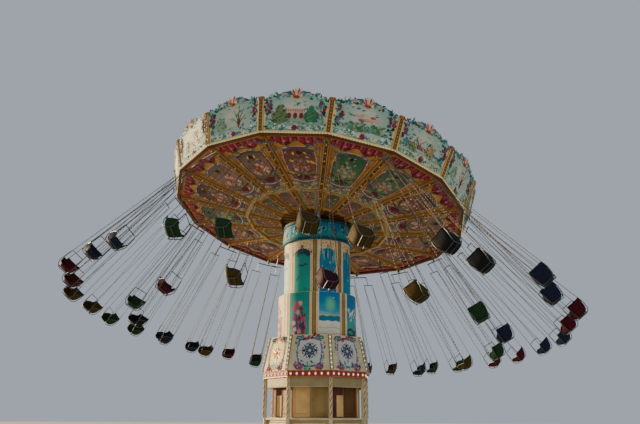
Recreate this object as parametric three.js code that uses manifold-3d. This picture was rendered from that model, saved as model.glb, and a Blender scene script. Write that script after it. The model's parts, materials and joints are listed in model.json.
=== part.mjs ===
// Chair swing ride: a fairground carousel whose tilted canopy carries 48 chairs on chains, flung out by
// its spin. Millimetres, +Z up. The origin is on the ground under the tower's axis, and -Y is the side
// that faces the public.
import * as THREE from "three";
import { mergeVertices } from "three/addons/utils/BufferGeometryUtils.js";
import Module from "manifold-3d";

// Driving dimensions
const FACE_GAP = 0.3;                 // gap between two parts that touch
const SLIDE_GAP = 0.4;                // running gap at the columns' guide feet
const PANEL_ROOM = 12;                // room for a column's painted panels where it slides through a hole
const RIBS = 16;                      // sides of the canopy, and its radial ribs
const RIM_R = 5700;                   // canopy's lower rim, at its corners
const TILT = THREE.MathUtils.degToRad(12.1);      // lean of the canopy's axis from plumb
const TILT_TOWARDS = THREE.MathUtils.degToRad(53); // direction of the lean, from +X towards +Y
const RIB_PHASE = THREE.MathUtils.degToRad(2.1);   // first rib's direction in the canopy
const PIVOT_Z = 8950;                 // tilt pivot on top of the tower
const RIM_OVER_PIVOT = 330;           // rim plane above the tilt pivot, along the canopy's axis

const BOARD_TOP_R = 6080;             // rounding boards' corners at the top, which lean out
const BOARD_H = 1080;                 // rounding boards' height at the corner posts
const BOARD_ARCH_H = 1230;            // top of each board's arch
const BOARD_CREST_H = 1440;           // top of the crest over each arch
const BOARD_T = 45;
const POST_W = 190;                   // gold posts between the boards
const RIM_BEAM_H = 90;

const CEILING_T = 30;
const CEILING_R = 5590;
const RING_R = 2750;                  // ring beam between the two rows of ceiling panels
const RING_DROP = 380;                // how far the ceiling is below the rim plane at the ring beam
const HOLE_R = 1480;                  // hole in the ceiling round the tower's collar
const HOLE_DROP = 500;
const DISH_DROP = 218;                // the closed dish over the collar
const RIB_W = 170;
const RIB_DEPTH = 90;
const HUB_R = 520;
const HUB_LOW = 110;                  // hub's underside, where it rests on the tilt head's shoulder
const ROOF_EDGE_Z = 260;
const ROOF_TOP_Z = 900;

const BASE_SIDES = 8;
const BASE_PHASE = THREE.MathUtils.degToRad(14.4); // first corner of the base, from +X
const POST_R = 1890;                  // pavilion's corner posts
const SILL_Z = 1600;
const SILL_T = 60;
const FLOOR_Z = 550;
const DECK_Z = 410;                   // top of the base frame, where the deck and the walls stand
const WALL_R = 1830;                  // skirt wall's corners
const WALL_T = 45;
const FASCIA_Z = [2600, 2920];
const BAND_Z = [2920, 3145];
const CREST_Z = [3145, 4357];
const CREST_R = [2030, 1770];         // cresting's corners, at its foot and at its top
const CREST_T = 50;
const CORE_R = 1620;
const CORE_TOP_Z = 4240;
const STAGE_1_R = 1462;               // lower column
const STAGE_1_Z = [1850, 5914];
const STAGE_2_R = 1270;               // upper column
const STAGE_2_Z = [3620, 8600];
const COLLAR_Z = [7907, 8700];
const COLLAR_R = [1350, 1297];
const OUTRIGGER_R = 3000;
const OUTRIGGERS = 4;
const SHELL_T = 40;

const OUTER_R = 5480;                 // swivels of the outer pairs of chairs
const INNER_R = 4140;                 // swivels of the inner chairs
const OUTER_FLARE = THREE.MathUtils.degToRad(41);  // chains' lean from plumb in the ride
const INNER_FLARE = THREE.MathUtils.degToRad(31);
const OUTER_DROP = 5450;              // swivel to seat pan, along the chains
const INNER_DROP = 5250;
const PAIR_HALF = 430;                // half the distance between a pair's hangers
const SWIVEL_R = 30;
const LUG_H = 100;

// Solids

const wasm = await Module();
wasm.setup();

function solidOf(geometry) {
  const bare = geometry.index ? geometry.toNonIndexed() : geometry.clone();
  bare.deleteAttribute("normal");
  bare.deleteAttribute("uv");
  const merged = mergeVertices(bare, 1e-3);
  return new wasm.Manifold(new wasm.Mesh({
    numProp: 3,
    vertProperties: merged.attributes.position.array,
    triVerts: new Uint32Array(merged.index.array),
  }));
}

function geometryOf(solid) {
  const mesh = solid.simplify(0.05).getMesh();
  const stride = mesh.numProp;
  const positions = new Float32Array(mesh.numVert * 3);
  for (let i = 0; i < mesh.numVert; i++) {
    positions.set(mesh.vertProperties.subarray(i * stride, i * stride + 3), i * 3);
  }
  const geometry = new THREE.BufferGeometry();
  geometry.setAttribute("position", new THREE.BufferAttribute(positions, 3));
  geometry.setIndex(new THREE.BufferAttribute(mesh.triVerts, 1));
  return geometry;
}

function joined(geometries) {
  return geometries.map(solidOf).reduce((whole, piece) => whole.add(piece));
}

const fuse = (geometries) => geometryOf(joined(geometries));

const cut = (body, tools) => geometryOf(joined(body).subtract(joined(tools)));

const box = (w, d, h) => new THREE.BoxGeometry(w, d, h);

// Ring or disc of `sides` flat sides about +Z. The profile's points are (radius at the corners, height),
// anticlockwise.
function turned(profile, sides, phase = 0) {
  const points = profile.map(([r, z]) => new THREE.Vector2(r, z));
  if (profile[0][0] > 0) points.push(points[0].clone());
  const lathe = new THREE.LatheGeometry(points, sides, phase + Math.PI / 2);
  return lathe.rotateX(Math.PI / 2);
}

// Straight bar between two points.
function bar(from, to, radius, sides = 4) {
  const way = to.clone().sub(from);
  const rod = new THREE.CylinderGeometry(radius, radius, way.length(), sides, 1);
  const turn = new THREE.Quaternion().setFromUnitVectors(new THREE.Vector3(0, 1, 0), way.clone().normalize());
  return rod.applyQuaternion(turn).translate(...from.clone().add(to).multiplyScalar(0.5).toArray());
}

function outline(points) {
  return new THREE.Shape(points.map(([x, y]) => new THREE.Vector2(x, y)));
}

const around = (count, phase, make) =>
  Array.from({ length: count }, (_, i) => make(phase + (i * 2 * Math.PI) / count, i));

// Base and pavilion

function baseFrame() {
  const beamFoot = 150;
  const padR = 170;
  const beamMiddle = (DECK_Z + beamFoot) / 2;
  const arms = around(OUTRIGGERS, BASE_PHASE, (a) =>
    box(OUTRIGGER_R, 180, DECK_Z - beamFoot).translate(OUTRIGGER_R / 2, 0, beamMiddle).rotateZ(a));
  const feet = around(OUTRIGGERS, BASE_PHASE, (a) => {
    const reach = OUTRIGGER_R - padR;
    const foot = turned([[0, 0], [padR, 0], [padR, 40], [60, 60], [60, 260], [0, 260]], 12);
    return foot.translate(reach * Math.cos(a), reach * Math.sin(a), 0);
  });
  const turntable = turned([
    [0, 0], [700, 0], [700, 60], [560, 60], [560, 300], [1300, 300], [1300, DECK_Z], [0, DECK_Z],
  ], 16);
  return fuse([turntable, ...arms, ...feet]);
}

const baseRing = (profile) => turned(profile, BASE_SIDES, BASE_PHASE);

function deckFloor() {
  const edge = WALL_R - WALL_T - 5;
  return baseRing([[0, DECK_Z + FACE_GAP], [edge, DECK_Z + FACE_GAP], [edge, FLOOR_Z], [0, FLOOR_Z]]);
}

const DOOR_W = 700;
const BACK_FACE = BASE_PHASE + (1.5 * 2 * Math.PI) / BASE_SIDES;

function skirtWall() {
  const inn = WALL_R - WALL_T;
  const low = DECK_Z + FACE_GAP;
  const wall = baseRing([[inn, low], [WALL_R, low], [WALL_R, SILL_Z - SILL_T], [inn, SILL_Z - SILL_T]]);
  const doorway = box(800, DOOR_W, SILL_Z).translate(POST_R - 150, 0, FLOOR_Z + SILL_Z / 2);
  return cut([wall], [doorway.rotateZ(BACK_FACE)]);
}

function pavilionFrame() {
  const postFoot = DECK_Z + 1;
  const posts = around(BASE_SIDES, BASE_PHASE, (a) =>
    box(100, 110, FASCIA_Z[1] - postFoot).translate(POST_R - 20, 0, (FASCIA_Z[1] + postFoot) / 2).rotateZ(a));
  const fascia = baseRing([
    [POST_R - 90, FASCIA_Z[0]], [POST_R, FASCIA_Z[0]], [POST_R, FASCIA_Z[1]], [POST_R - 90, FASCIA_Z[1]],
  ]);
  const wallTop = SILL_Z - SILL_T + FACE_GAP;
  const sill = baseRing([
    [POST_R - 150, wallTop], [POST_R + 20, wallTop], [POST_R + 20, SILL_Z], [POST_R - 150, SILL_Z],
  ]);
  const doorway = box(800, DOOR_W, 300).translate(POST_R - 100, 0, SILL_Z).rotateZ(BACK_FACE);
  const slot = [WALL_R - WALL_T - FACE_GAP, WALL_R + FACE_GAP];
  const slots = baseRing([[slot[0], 0], [slot[1], 0], [slot[1], wallTop], [slot[0], wallTop]]);
  return geometryOf(joined([...posts, fascia, sill]).subtract(solidOf(doorway)).subtract(solidOf(slots)));
}

// Room for the lower column.
function columnHole(low, high) {
  const bore = STAGE_1_R + PANEL_ROOM;
  return turned([[0, low], [bore, low], [bore, high], [0, high]], 32);
}

function machineCore() {
  const shell = baseRing([
    [0, FLOOR_Z + FACE_GAP], [CORE_R, FLOOR_Z + FACE_GAP], [CORE_R, CORE_TOP_Z], [0, CORE_TOP_Z],
  ]);
  return cut([shell], [columnHole(FLOOR_Z + 20, CORE_TOP_Z + 50)]);
}

function bulbBand() {
  const [low, high] = BAND_Z;
  return baseRing([
    [POST_R - 90, low + FACE_GAP], [POST_R + 70, low + FACE_GAP], [POST_R + 70, high], [POST_R - 90, high],
  ]);
}

function cresting() {
  const [low, high] = CREST_Z;
  const [foot, top] = CREST_R;
  return baseRing([
    [foot - CREST_T, low + FACE_GAP], [foot, low + FACE_GAP], [top, high], [top - CREST_T, high],
  ]);
}

function pavilionRoof() {
  const z = [CORE_TOP_Z + FACE_GAP, CORE_TOP_Z + 40];
  const lean = (CREST_R[0] - CREST_R[1]) / (CREST_Z[1] - CREST_Z[0]);
  const edge = (height) => CREST_R[1] - CREST_T - 0.5 + (CREST_Z[1] - height) * lean;
  const plate = baseRing([[0, z[0]], [edge(z[1]), z[0]], [edge(z[1]), z[1]], [0, z[1]]]);
  return cut([plate], [columnHole(z[0] - 50, z[1] + 50)]);
}

// Telescopic tower

const FOOT_H = 90;

// Each column runs on a guide foot, so that its painted sides pass clear through the hole above.
function lowerColumn() {
  const [low, high] = STAGE_1_Z;
  const inn = STAGE_1_R - SHELL_T;
  const foot = STAGE_1_R + PANEL_ROOM - SLIDE_GAP;
  const lip = STAGE_2_R + PANEL_ROOM;
  return turned([
    [inn, low], [foot, low], [foot, low + FOOT_H], [STAGE_1_R, low + FOOT_H],
    [STAGE_1_R, high], [lip, high], [lip, high - 60], [inn, high - 60],
  ], 32);
}

function upperColumn() {
  const [low, high] = STAGE_2_Z;
  const inn = STAGE_2_R - SHELL_T;
  const foot = STAGE_1_R - SHELL_T - SLIDE_GAP;
  return turned([
    [inn, low], [foot, low], [foot, low + FOOT_H], [STAGE_2_R, low + FOOT_H],
    [STAGE_2_R, high], [0, high], [0, high - 50], [inn, high - 50],
  ], 32);
}

function collar() {
  const [low, high] = COLLAR_Z;
  const [wide, narrow] = COLLAR_R;
  const inn = STAGE_2_R + FACE_GAP;
  return turned([
    [inn, low], [wide, low], [wide, low + 90], [narrow, high - 120], [narrow, high], [inn, high],
  ], 32);
}

function tiltYoke() {
  const cheekTop = PIVOT_Z + 40;
  const foot = STAGE_2_Z[1] + FACE_GAP;
  const plate = box(760, 1000, 40).translate(0, 0, foot + 20);
  const cheeks = [-1, 1].map((side) =>
    box(300, 60, cheekTop - foot).translate(0, side * 380, (cheekTop + foot) / 2));
  return fuse([plate, ...cheeks]).rotateZ(TILT_TOWARDS);
}

// Everything on the canopy is drawn about the tilt pivot, with +Z along the canopy's axis.

function tiltHead() {
  const shaft = turned([
    [0, -60], [190, -60], [190, 60], [300, 60],
    [300, HUB_LOW - FACE_GAP], [200, HUB_LOW - FACE_GAP], [200, 560], [0, 560],
  ], 24);
  const trunnion = new THREE.CylinderGeometry(100, 100, 2 * (350 - FACE_GAP), 16);
  return fuse([shaft, trunnion.rotateZ(TILT_TOWARDS)]);
}

function canopyHub() {
  const top = RIM_OVER_PIVOT + ROOF_TOP_Z - 30 - FACE_GAP;
  return turned([[212, HUB_LOW], [HUB_R, HUB_LOW], [HUB_R, 520], [300, 540], [300, top], [212, top]], 24);
}

const ribRing = (profile) => turned(profile, RIBS, RIB_PHASE);

// Underside of the ceiling at a radius, from the tilt pivot.
function ceilingZ(r) {
  const share = (r - RING_R) / (r > RING_R ? CEILING_R - RING_R : HOLE_R - RING_R);
  const drop = r > RING_R ? RING_DROP * (1 - share) : RING_DROP + (HOLE_DROP - RING_DROP) * share;
  return RIM_OVER_PIVOT - drop;
}

function ribs(from, to) {
  return around(RIBS, RIB_PHASE, (a) => {
    const side = outline([
      [from, ceilingZ(from) + 10], [from, ceilingZ(from) - RIB_DEPTH],
      [to, ceilingZ(to) - RIB_DEPTH], [to, ceilingZ(to) + 10],
    ]);
    const rib = new THREE.ExtrudeGeometry(side, { depth: RIB_W, bevelEnabled: false });
    return rib.rotateX(Math.PI / 2).translate(0, RIB_W / 2, 0).rotateZ(a);
  });
}

// Lugs under the ribs that the swivels hang from.
function lugs(radius) {
  return around(RIBS, RIB_PHASE, (a) => {
    const foot = swivelZ(radius) + SWIVEL_R + FACE_GAP;
    const head = ceilingZ(radius) - RIB_DEPTH + 30;
    return box(90, 90, head - foot).translate(radius, 0, (head + foot) / 2).rotateZ(a);
  });
}

const swivelZ = (radius) => ceilingZ(radius) - RIB_DEPTH - LUG_H - SWIVEL_R;

function ceilingOuter() {
  const panels = ribRing([
    [RING_R + FACE_GAP, ceilingZ(RING_R)], [CEILING_R, ceilingZ(CEILING_R)],
    [CEILING_R, ceilingZ(CEILING_R) + CEILING_T], [RING_R + FACE_GAP, ceilingZ(RING_R) + CEILING_T],
  ]);
  const beam = ribRing([
    [RING_R + FACE_GAP, ceilingZ(RING_R) - RIB_DEPTH], [RING_R + 120, ceilingZ(RING_R + 120) - RIB_DEPTH],
    [RING_R + 120, ceilingZ(RING_R + 120) + 10], [RING_R + FACE_GAP, ceilingZ(RING_R) + 10],
  ]);
  return fuse([panels, beam, ...ribs(RING_R + 40, CEILING_R - 60), ...lugs(OUTER_R), ...lugs(INNER_R)]);
}

function ceilingInner() {
  const dish = RIM_OVER_PIVOT - DISH_DROP;
  const hole = ceilingZ(HOLE_R);
  const ring = ceilingZ(RING_R);
  const bore = (HUB_R + 0.4) / Math.cos(Math.PI / RIBS);
  const shell = ribRing([
    [bore, dish], [HOLE_R, dish], [HOLE_R, hole], [RING_R, ring], [RING_R, ring + CEILING_T],
    [HOLE_R + CEILING_T, hole + CEILING_T], [HOLE_R + CEILING_T, dish + CEILING_T], [bore, dish + CEILING_T],
  ]);
  return fuse([shell, ...ribs(HOLE_R + 10, RING_R - 80)]);
}

function rimBeam() {
  const top = RIM_OVER_PIVOT;
  const inn = CEILING_R + FACE_GAP;
  return ribRing([[inn, top - RIM_BEAM_H], [RIM_R, top - RIM_BEAM_H], [RIM_R + 20, top], [inn, top]]);
}

function boardOutline() {
  const slope = Math.hypot(BOARD_H, (BOARD_TOP_R - RIM_R) * Math.cos(Math.PI / RIBS)) / BOARD_H;
  const half = RIM_R * Math.sin(Math.PI / RIBS) - 15;
  const flare = (BOARD_TOP_R - RIM_R) * Math.sin(Math.PI / RIBS);
  const shoulder = 0.93 * BOARD_H * slope;
  const shape = new THREE.Shape();
  shape.moveTo(-half, 0);
  shape.lineTo(half, 0);
  shape.lineTo(half + flare * 0.93, shoulder);
  shape.quadraticCurveTo(half * 0.62, shoulder, half * 0.5, BOARD_ARCH_H * slope * 0.97);
  shape.lineTo(130, BOARD_ARCH_H * slope);
  shape.lineTo(0, BOARD_CREST_H * slope);
  shape.lineTo(-130, BOARD_ARCH_H * slope);
  shape.lineTo(-half * 0.5, BOARD_ARCH_H * slope * 0.97);
  shape.quadraticCurveTo(-half * 0.62, shoulder, -half - flare * 0.93, shoulder);
  return shape;
}

const BOARD_LEAN = Math.atan(((BOARD_TOP_R - RIM_R) * Math.cos(Math.PI / RIBS)) / BOARD_H);

function roundingBoards() {
  const apothem = RIM_R * Math.cos(Math.PI / RIBS);
  const foot = RIM_OVER_PIVOT + FACE_GAP;
  const boards = around(RIBS, RIB_PHASE + Math.PI / RIBS, (a) => {
    const settings = { depth: BOARD_T, bevelEnabled: false, curveSegments: 3 };
    const board = new THREE.ExtrudeGeometry(boardOutline(), settings);
    board.translate(0, 0, -BOARD_T).rotateX(Math.PI / 2).rotateZ(Math.PI / 2);
    return board.rotateY(BOARD_LEAN).translate(apothem, 0, foot + 10).rotateZ(a);
  });
  const lean = Math.atan((BOARD_TOP_R - RIM_R) / BOARD_H);
  const posts = around(RIBS, RIB_PHASE, (a) => {
    const post = box(70, POST_W, BOARD_H / Math.cos(lean)).translate(-5, 0, BOARD_H / Math.cos(lean) / 2);
    return post.rotateY(lean).translate(RIM_R, 0, foot + 12).rotateZ(a);
  });
  const sole = ribRing([
    [RIM_R - 60, foot], [RIM_R + 15, foot], [RIM_R + 22, foot + 40], [RIM_R - 60, foot + 40],
  ]);
  return fuse([sole, ...boards, ...posts]);
}

// The roof's cone and the low drum that it stands on.
function roofCover() {
  const edgeR = RIM_R - 70;
  const foot = RIM_OVER_PIVOT + FACE_GAP;
  const low = RIM_OVER_PIVOT + ROOF_EDGE_Z;
  const high = RIM_OVER_PIVOT + ROOF_TOP_Z;
  return ribRing([
    [0, high - 30], [HUB_R, high - 30], [edgeR - 30, low - 30], [edgeR - 30, foot],
    [edgeR, foot], [edgeR, low], [HUB_R, high], [0, high],
  ]);
}

// Swings

// Chair about the middle of its seat pan: +Y is forward, +Z up the chains.
const CHAIR_W = 500;
const SPREAD_Z = -430;                // spreader bar that the four chains hang from, below the link
const SPREAD_HALF = 205;              // half the distance between the chains at the spreader
const CROSSBAR_Z = -110;              // bar that carries a pair's hangers, below the swivel
const CHAIN_LOW = [[235, 200, 240], [235, -262, 395]]; // where the chains meet the arms, on the +X side
const LAP_BAR = [460, 24, 24];
const LAP_BAR_AT = [0, 200, 545];     // swung up out of the way, between the front chains

const SIDEWAYS = new THREE.Matrix4().makeBasis(
  new THREE.Vector3(0, 1, 0), new THREE.Vector3(0, 0, 1), new THREE.Vector3(1, 0, 0));

function sideProfile(points, width) {
  const solid = new THREE.ExtrudeGeometry(outline(points), { depth: width, bevelEnabled: false });
  return solid.applyMatrix4(SIDEWAYS).translate(-width / 2, 0, 0);
}

function seatTub() {
  const outside = [[240, -45], [240, 265], [-200, 265], [-240, 430], [-305, 430], [-190, -45]];
  const inside = [[260, 5], [260, 290], [-165, 290], [-215, 450], [-262, 450], [-160, 5]];
  return solidOf(sideProfile(outside, CHAIR_W)).subtract(solidOf(sideProfile(inside, CHAIR_W - 60)));
}

const SEAT = geometryOf(seatTub());

// One chair with its spreader and chains, hung from the origin along -Z and facing +Y.
function hungChair(drop) {
  const point = (x, y, z) => new THREE.Vector3(x, y, z);
  const seat = SEAT.clone().translate(0, 0, -drop);
  const lapBar = box(...LAP_BAR).translate(...LAP_BAR_AT).translate(0, 0, -drop);
  const link = bar(point(0, 0, 10), point(0, 0, SPREAD_Z), 16);
  const spreader = bar(point(0, -SPREAD_HALF - 20, SPREAD_Z), point(0, SPREAD_HALF + 20, SPREAD_Z), 20, 6);
  const chains = CHAIN_LOW.flatMap(([x, y, z]) => [-1, 1].map((s) =>
    bar(point(0, Math.sign(y) * SPREAD_HALF, SPREAD_Z), point(s * x, y, z - drop), 11, 3)));
  return fuse([seat, lapBar, link, spreader, ...chains]);
}

// Swivel rod that the swing hangs by, along its hinge axis.
const swivelRod = () => new THREE.CylinderGeometry(SWIVEL_R, SWIVEL_R, 100, 16);

const innerSwing = () => fuse([swivelRod(), hungChair(INNER_DROP)]);

// Two chairs on one crossbar. Each faces along its own circle, so they stand a few degrees apart.
function outerPair() {
  const splay = Math.asin(PAIR_HALF / OUTER_R);
  const plumb = new THREE.Vector3(Math.sin(OUTER_FLARE), 0, Math.cos(OUTER_FLARE));
  const hanger = bar(new THREE.Vector3(0, 0, 0), new THREE.Vector3(0, 0, CROSSBAR_Z - 8), 20);
  const crossbar = new THREE.CylinderGeometry(26, 26, 2 * PAIR_HALF + 40, 8).translate(0, 0, CROSSBAR_Z);
  const chairs = [-1, 1].map((s) => hungChair(OUTER_DROP + CROSSBAR_Z)
    .applyQuaternion(new THREE.Quaternion().setFromAxisAngle(plumb, s * splay))
    .translate(0, s * PAIR_HALF, CROSSBAR_Z));
  return fuse([swivelRod(), hanger, crossbar, ...chairs]);
}

// Assembly

const TILT_AXIS = new THREE.Vector3(-Math.sin(TILT_TOWARDS), Math.cos(TILT_TOWARDS), 0);
const CANOPY_TURN = new THREE.Quaternion().setFromAxisAngle(TILT_AXIS, TILT);
const CANOPY_UP = new THREE.Vector3(0, 0, 1).applyQuaternion(CANOPY_TURN);
const CANOPY_PLACE = new THREE.Matrix4().makeRotationFromQuaternion(CANOPY_TURN).setPosition(0, 0, PIVOT_Z);

const paint = (color, roughness = 0.5, metalness = 0) =>
  new THREE.MeshStandardMaterial({ color, roughness, metalness });

const STEEL = paint(0x6d6f70, 0.55, 0.6);
const CREAM = paint(0xe6d3a0);
const GOLD = paint(0xc08a2e, 0.4, 0.3);
const SEAT_COLOURS = [0x2a2f4c, 0x5e1a26, 0x2c4a2c, 0x94742c, 0x4a4658].map((c) => paint(c, 0.35));

function part(name, geometry, material) {
  const mesh = new THREE.Mesh(geometry, material);
  mesh.name = name;
  return mesh;
}

const ride = new THREE.Group();
ride.add(
  part("base_frame", baseFrame(), STEEL),
  part("deck_floor", deckFloor(), paint(0x8a8375, 0.8)),
  part("skirt_wall", skirtWall(), paint(0xb9b3a0, 0.7)),
  part("pavilion_frame", pavilionFrame(), CREAM),
  part("machine_core", machineCore(), paint(0xd9b27c, 0.7)),
  part("bulb_band", bulbBand(), paint(0xa3262b)),
  part("cresting", cresting(), CREAM),
  part("pavilion_roof", pavilionRoof(), paint(0x9c978a, 0.8)),
  part("lower_column", lowerColumn(), CREAM),
  part("upper_column", upperColumn(), CREAM),
  part("collar", collar(), paint(0x1d7f95, 0.35)),
  part("tilt_yoke", tiltYoke(), STEEL),
);

const canopy = new THREE.Group();
canopy.position.z = PIVOT_Z;
canopy.quaternion.copy(CANOPY_TURN);
canopy.add(
  part("tilt_head", tiltHead(), STEEL),
  part("canopy_hub", canopyHub(), STEEL),
  part("ceiling_inner", ceilingInner(), paint(0x8a4a3a, 0.7)),
  part("ceiling_outer", ceilingOuter(), GOLD),
  part("rim_beam", rimBeam(), CREAM),
  part("rounding_boards", roundingBoards(), paint(0x9fb3a6)),
  part("roof_cover", roofCover(), paint(0xd8cfae, 0.8)),
);
ride.add(canopy);

// Stands a swing under its swivel, flung straight out from the tower as it is while the ride turns.
function flungOut(geometry, radius, flare, index) {
  const a = RIB_PHASE + (index * 2 * Math.PI) / RIBS;
  const at = new THREE.Vector3(radius * Math.cos(a), radius * Math.sin(a), swivelZ(radius));
  at.applyMatrix4(CANOPY_PLACE);
  const out = new THREE.Vector3(at.x, at.y, 0).normalize();
  const up = out.multiplyScalar(-Math.sin(flare)).add(new THREE.Vector3(0, 0, Math.cos(flare)));
  const axis = up.clone().cross(CANOPY_UP).normalize();
  const frame = new THREE.Matrix4().makeBasis(axis.clone().cross(up), axis, up);
  return geometry.clone().applyMatrix4(frame.setPosition(at));
}

const two = (index) => String(index + 1).padStart(2, "0");
const pair = outerPair();
const single = innerSwing();
for (let i = 0; i < RIBS; i++) {
  const colour = SEAT_COLOURS[i % SEAT_COLOURS.length];
  ride.add(part(`outer_pair_${two(i)}`, flungOut(pair, OUTER_R, OUTER_FLARE, i), colour));
  ride.add(part(`inner_swing_${two(i)}`, flungOut(single, INNER_R, INNER_FLARE, i), colour));
}

export default ride;
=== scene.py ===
"""Dresses the chair swing ride: painted boards, ribbed canopy, tower, pavilion, and chairs on chains."""

import json
import random
from math import asin, atan, atan2, copysign, cos, hypot, pi, radians, sin, tan

import bmesh
import bpy
from mathutils import Matrix, Vector


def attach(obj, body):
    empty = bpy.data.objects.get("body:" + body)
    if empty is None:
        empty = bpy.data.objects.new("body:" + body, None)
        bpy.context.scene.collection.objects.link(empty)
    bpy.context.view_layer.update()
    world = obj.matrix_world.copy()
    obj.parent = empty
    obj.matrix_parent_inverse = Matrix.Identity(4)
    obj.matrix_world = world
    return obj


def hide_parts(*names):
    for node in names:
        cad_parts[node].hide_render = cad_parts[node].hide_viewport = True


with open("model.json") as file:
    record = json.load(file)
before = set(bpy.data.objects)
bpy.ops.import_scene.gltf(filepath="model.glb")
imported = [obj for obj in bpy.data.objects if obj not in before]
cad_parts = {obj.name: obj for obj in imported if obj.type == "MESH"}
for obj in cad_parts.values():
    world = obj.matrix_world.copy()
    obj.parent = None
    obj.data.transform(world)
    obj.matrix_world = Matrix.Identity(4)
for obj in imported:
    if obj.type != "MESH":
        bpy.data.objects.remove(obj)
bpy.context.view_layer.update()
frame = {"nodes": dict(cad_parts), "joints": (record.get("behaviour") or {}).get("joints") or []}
JOINTS = {j["name"]: j for j in frame["joints"]}

# Driving dimensions, in metres, as in the part. Canopy heights are over the tilt pivot.
RIBS = 16
HALF_BAY = pi / RIBS
FLAT = cos(HALF_BAY)  # a side's distance over its corners' radius
RIB_PHASE = radians(2.1)
RIM_R = 5.7
RIM_Z = 0.33
BOARD_TOP_R, BOARD_H = 6.08, 1.08
BOARD_LEAN = atan((BOARD_TOP_R - RIM_R) * FLAT / BOARD_H)
BOARD_SLOPE = 1 / cos(BOARD_LEAN)
CEILING_R, RING_R, HOLE_R = 5.59, 2.75, 1.48
RING_DROP, HOLE_DROP, DISH_DROP = 0.38, 0.5, 0.218
RIB_W, RIB_DEPTH = 0.17, 0.09
ROOF_EDGE_Z, ROOF_TOP_Z = RIM_Z + 0.26, RIM_Z + 0.9
POST_W = 0.19
BASE_SIDES = 8
HALF_SIDE = pi / BASE_SIDES  # for the base's sides and for the panels round a column
BASE_PHASE = radians(14.4)
POST_R, SILL_Z, POST_TOP_Z = 1.89, 1.6, 2.91
WALL_R, WALL_Z = 1.83, (0.45, 1.54)
CORE_R, CORE_Z = 1.62, (1.62, 2.9)
FASCIA_Z = 2.6
BAND_R, BAND_Z = 1.96, (2.92, 3.145)
CREST_R, CREST_TOP_R, CREST_Z = 2.03, 1.77, (3.146, 4.357)
LOWER_R, LOWER_Z = 1.462, (4.3, 5.905)
UPPER_R, UPPER_Z = 1.27, (5.0, 7.9)
COLLAR_R, COLLAR_TOP_R, COLLAR_Z = 1.35, 1.297, (7.997, 8.58)
PILASTER_PHASE = radians(-94.3)
PILASTER_W = 0.345
OUTER_R, OUTER_FLARE, OUTER_DROP = 5.48, radians(41), 5.45
INNER_R, INNER_FLARE, INNER_DROP = 4.14, radians(31), 5.25
PAIR_HALF, CROSSBAR_DROP, SPREADER_DROP = 0.43, 0.11, 0.43

# Camera, found from the photograph
CAMERA_AT = (0, -23.256, 1.6)
CAMERA_PITCH, CAMERA_YAW, CAMERA_ROLL = radians(18.54), radians(0.23), radians(0.24)
FOCAL_PX, FRAME_PX = 614.3, 640


# Materials

def linear(code):
    """A colour given as 0xRRGGBB, as linear values."""
    parts = [((code >> shift) & 255) / 255 for shift in (16, 8, 0)]
    return [c / 12.92 if c <= 0.04045 else ((c + 0.055) / 1.055) ** 2.4 for c in parts] + [1.0]


def node(tree, kind, sockets, **settings):
    """New shader node. Each socket takes a value or another node's output."""
    made = tree.nodes.new("ShaderNode" + kind)
    for key, value in settings.items():
        setattr(made, key, value)
    for key, value in sockets.items():
        if isinstance(value, bpy.types.NodeSocket):
            tree.links.new(value, made.inputs[key])
        else:
            made.inputs[key].default_value = value
    return made


def noise(tree, source, scale, detail=4.0):
    return node(tree, "TexNoise", {"Vector": source, "Scale": scale, "Detail": detail}).outputs["Fac"]


def spread(tree, value, ends, **settings):
    """Maps a value over From Min, From Max, To Min and To Max, where they are given."""
    names = ("From Min", "From Max", "To Min", "To Max")
    sockets = {name: end for name, end in zip(names, ends) if end is not None}
    return node(tree, "MapRange", {**sockets, "Value": value}, **settings).outputs[0]


def blended(tree, share, a, b, mode="MIX"):
    sockets = {"Factor": share, "A": a, "B": b}
    return node(tree, "Mix", sockets, data_type="RGBA", blend_type=mode).outputs["Result"]


def field(tree, coords, stops, glow):
    """Colours that run up the UV's second axis, a little uneven, with the glow over them."""
    up = node(tree, "SeparateXYZ", {0: coords.outputs["UV"]}).outputs["Y"]
    uneven = noise(tree, coords.outputs["Object"], 2.2)
    wobble = node(tree, "Math", {0: uneven, 1: 0.22, 2: up}, operation="MULTIPLY_ADD")
    shifted = node(tree, "Math", {0: wobble.outputs[0], 1: 0.11}, operation="SUBTRACT")
    ramp = node(tree, "ValToRGB", {"Fac": shifted.outputs[0]})
    while len(ramp.color_ramp.elements) < len(stops):
        ramp.color_ramp.elements.new(0.5)
    for element, (at, colour) in zip(ramp.color_ramp.elements, stops):
        element.position = at
        element.color = linear(colour)
    if not glow:
        return ramp.outputs["Color"]
    tint, at, radii = glow
    away = node(tree, "VectorMath", {0: coords.outputs["UV"], 1: (1 / radii[0], 1 / radii[1], 0),
                                     2: (-at[0] / radii[0], -at[1] / radii[1], 0)}, operation="MULTIPLY_ADD")
    far = node(tree, "VectorMath", {0: away.outputs[0]}, operation="LENGTH").outputs["Value"]
    fade = spread(tree, far, (1.0, 0.2), interpolation_type="SMOOTHSTEP")
    return blended(tree, fade, ramp.outputs["Color"], linear(tint))


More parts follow.
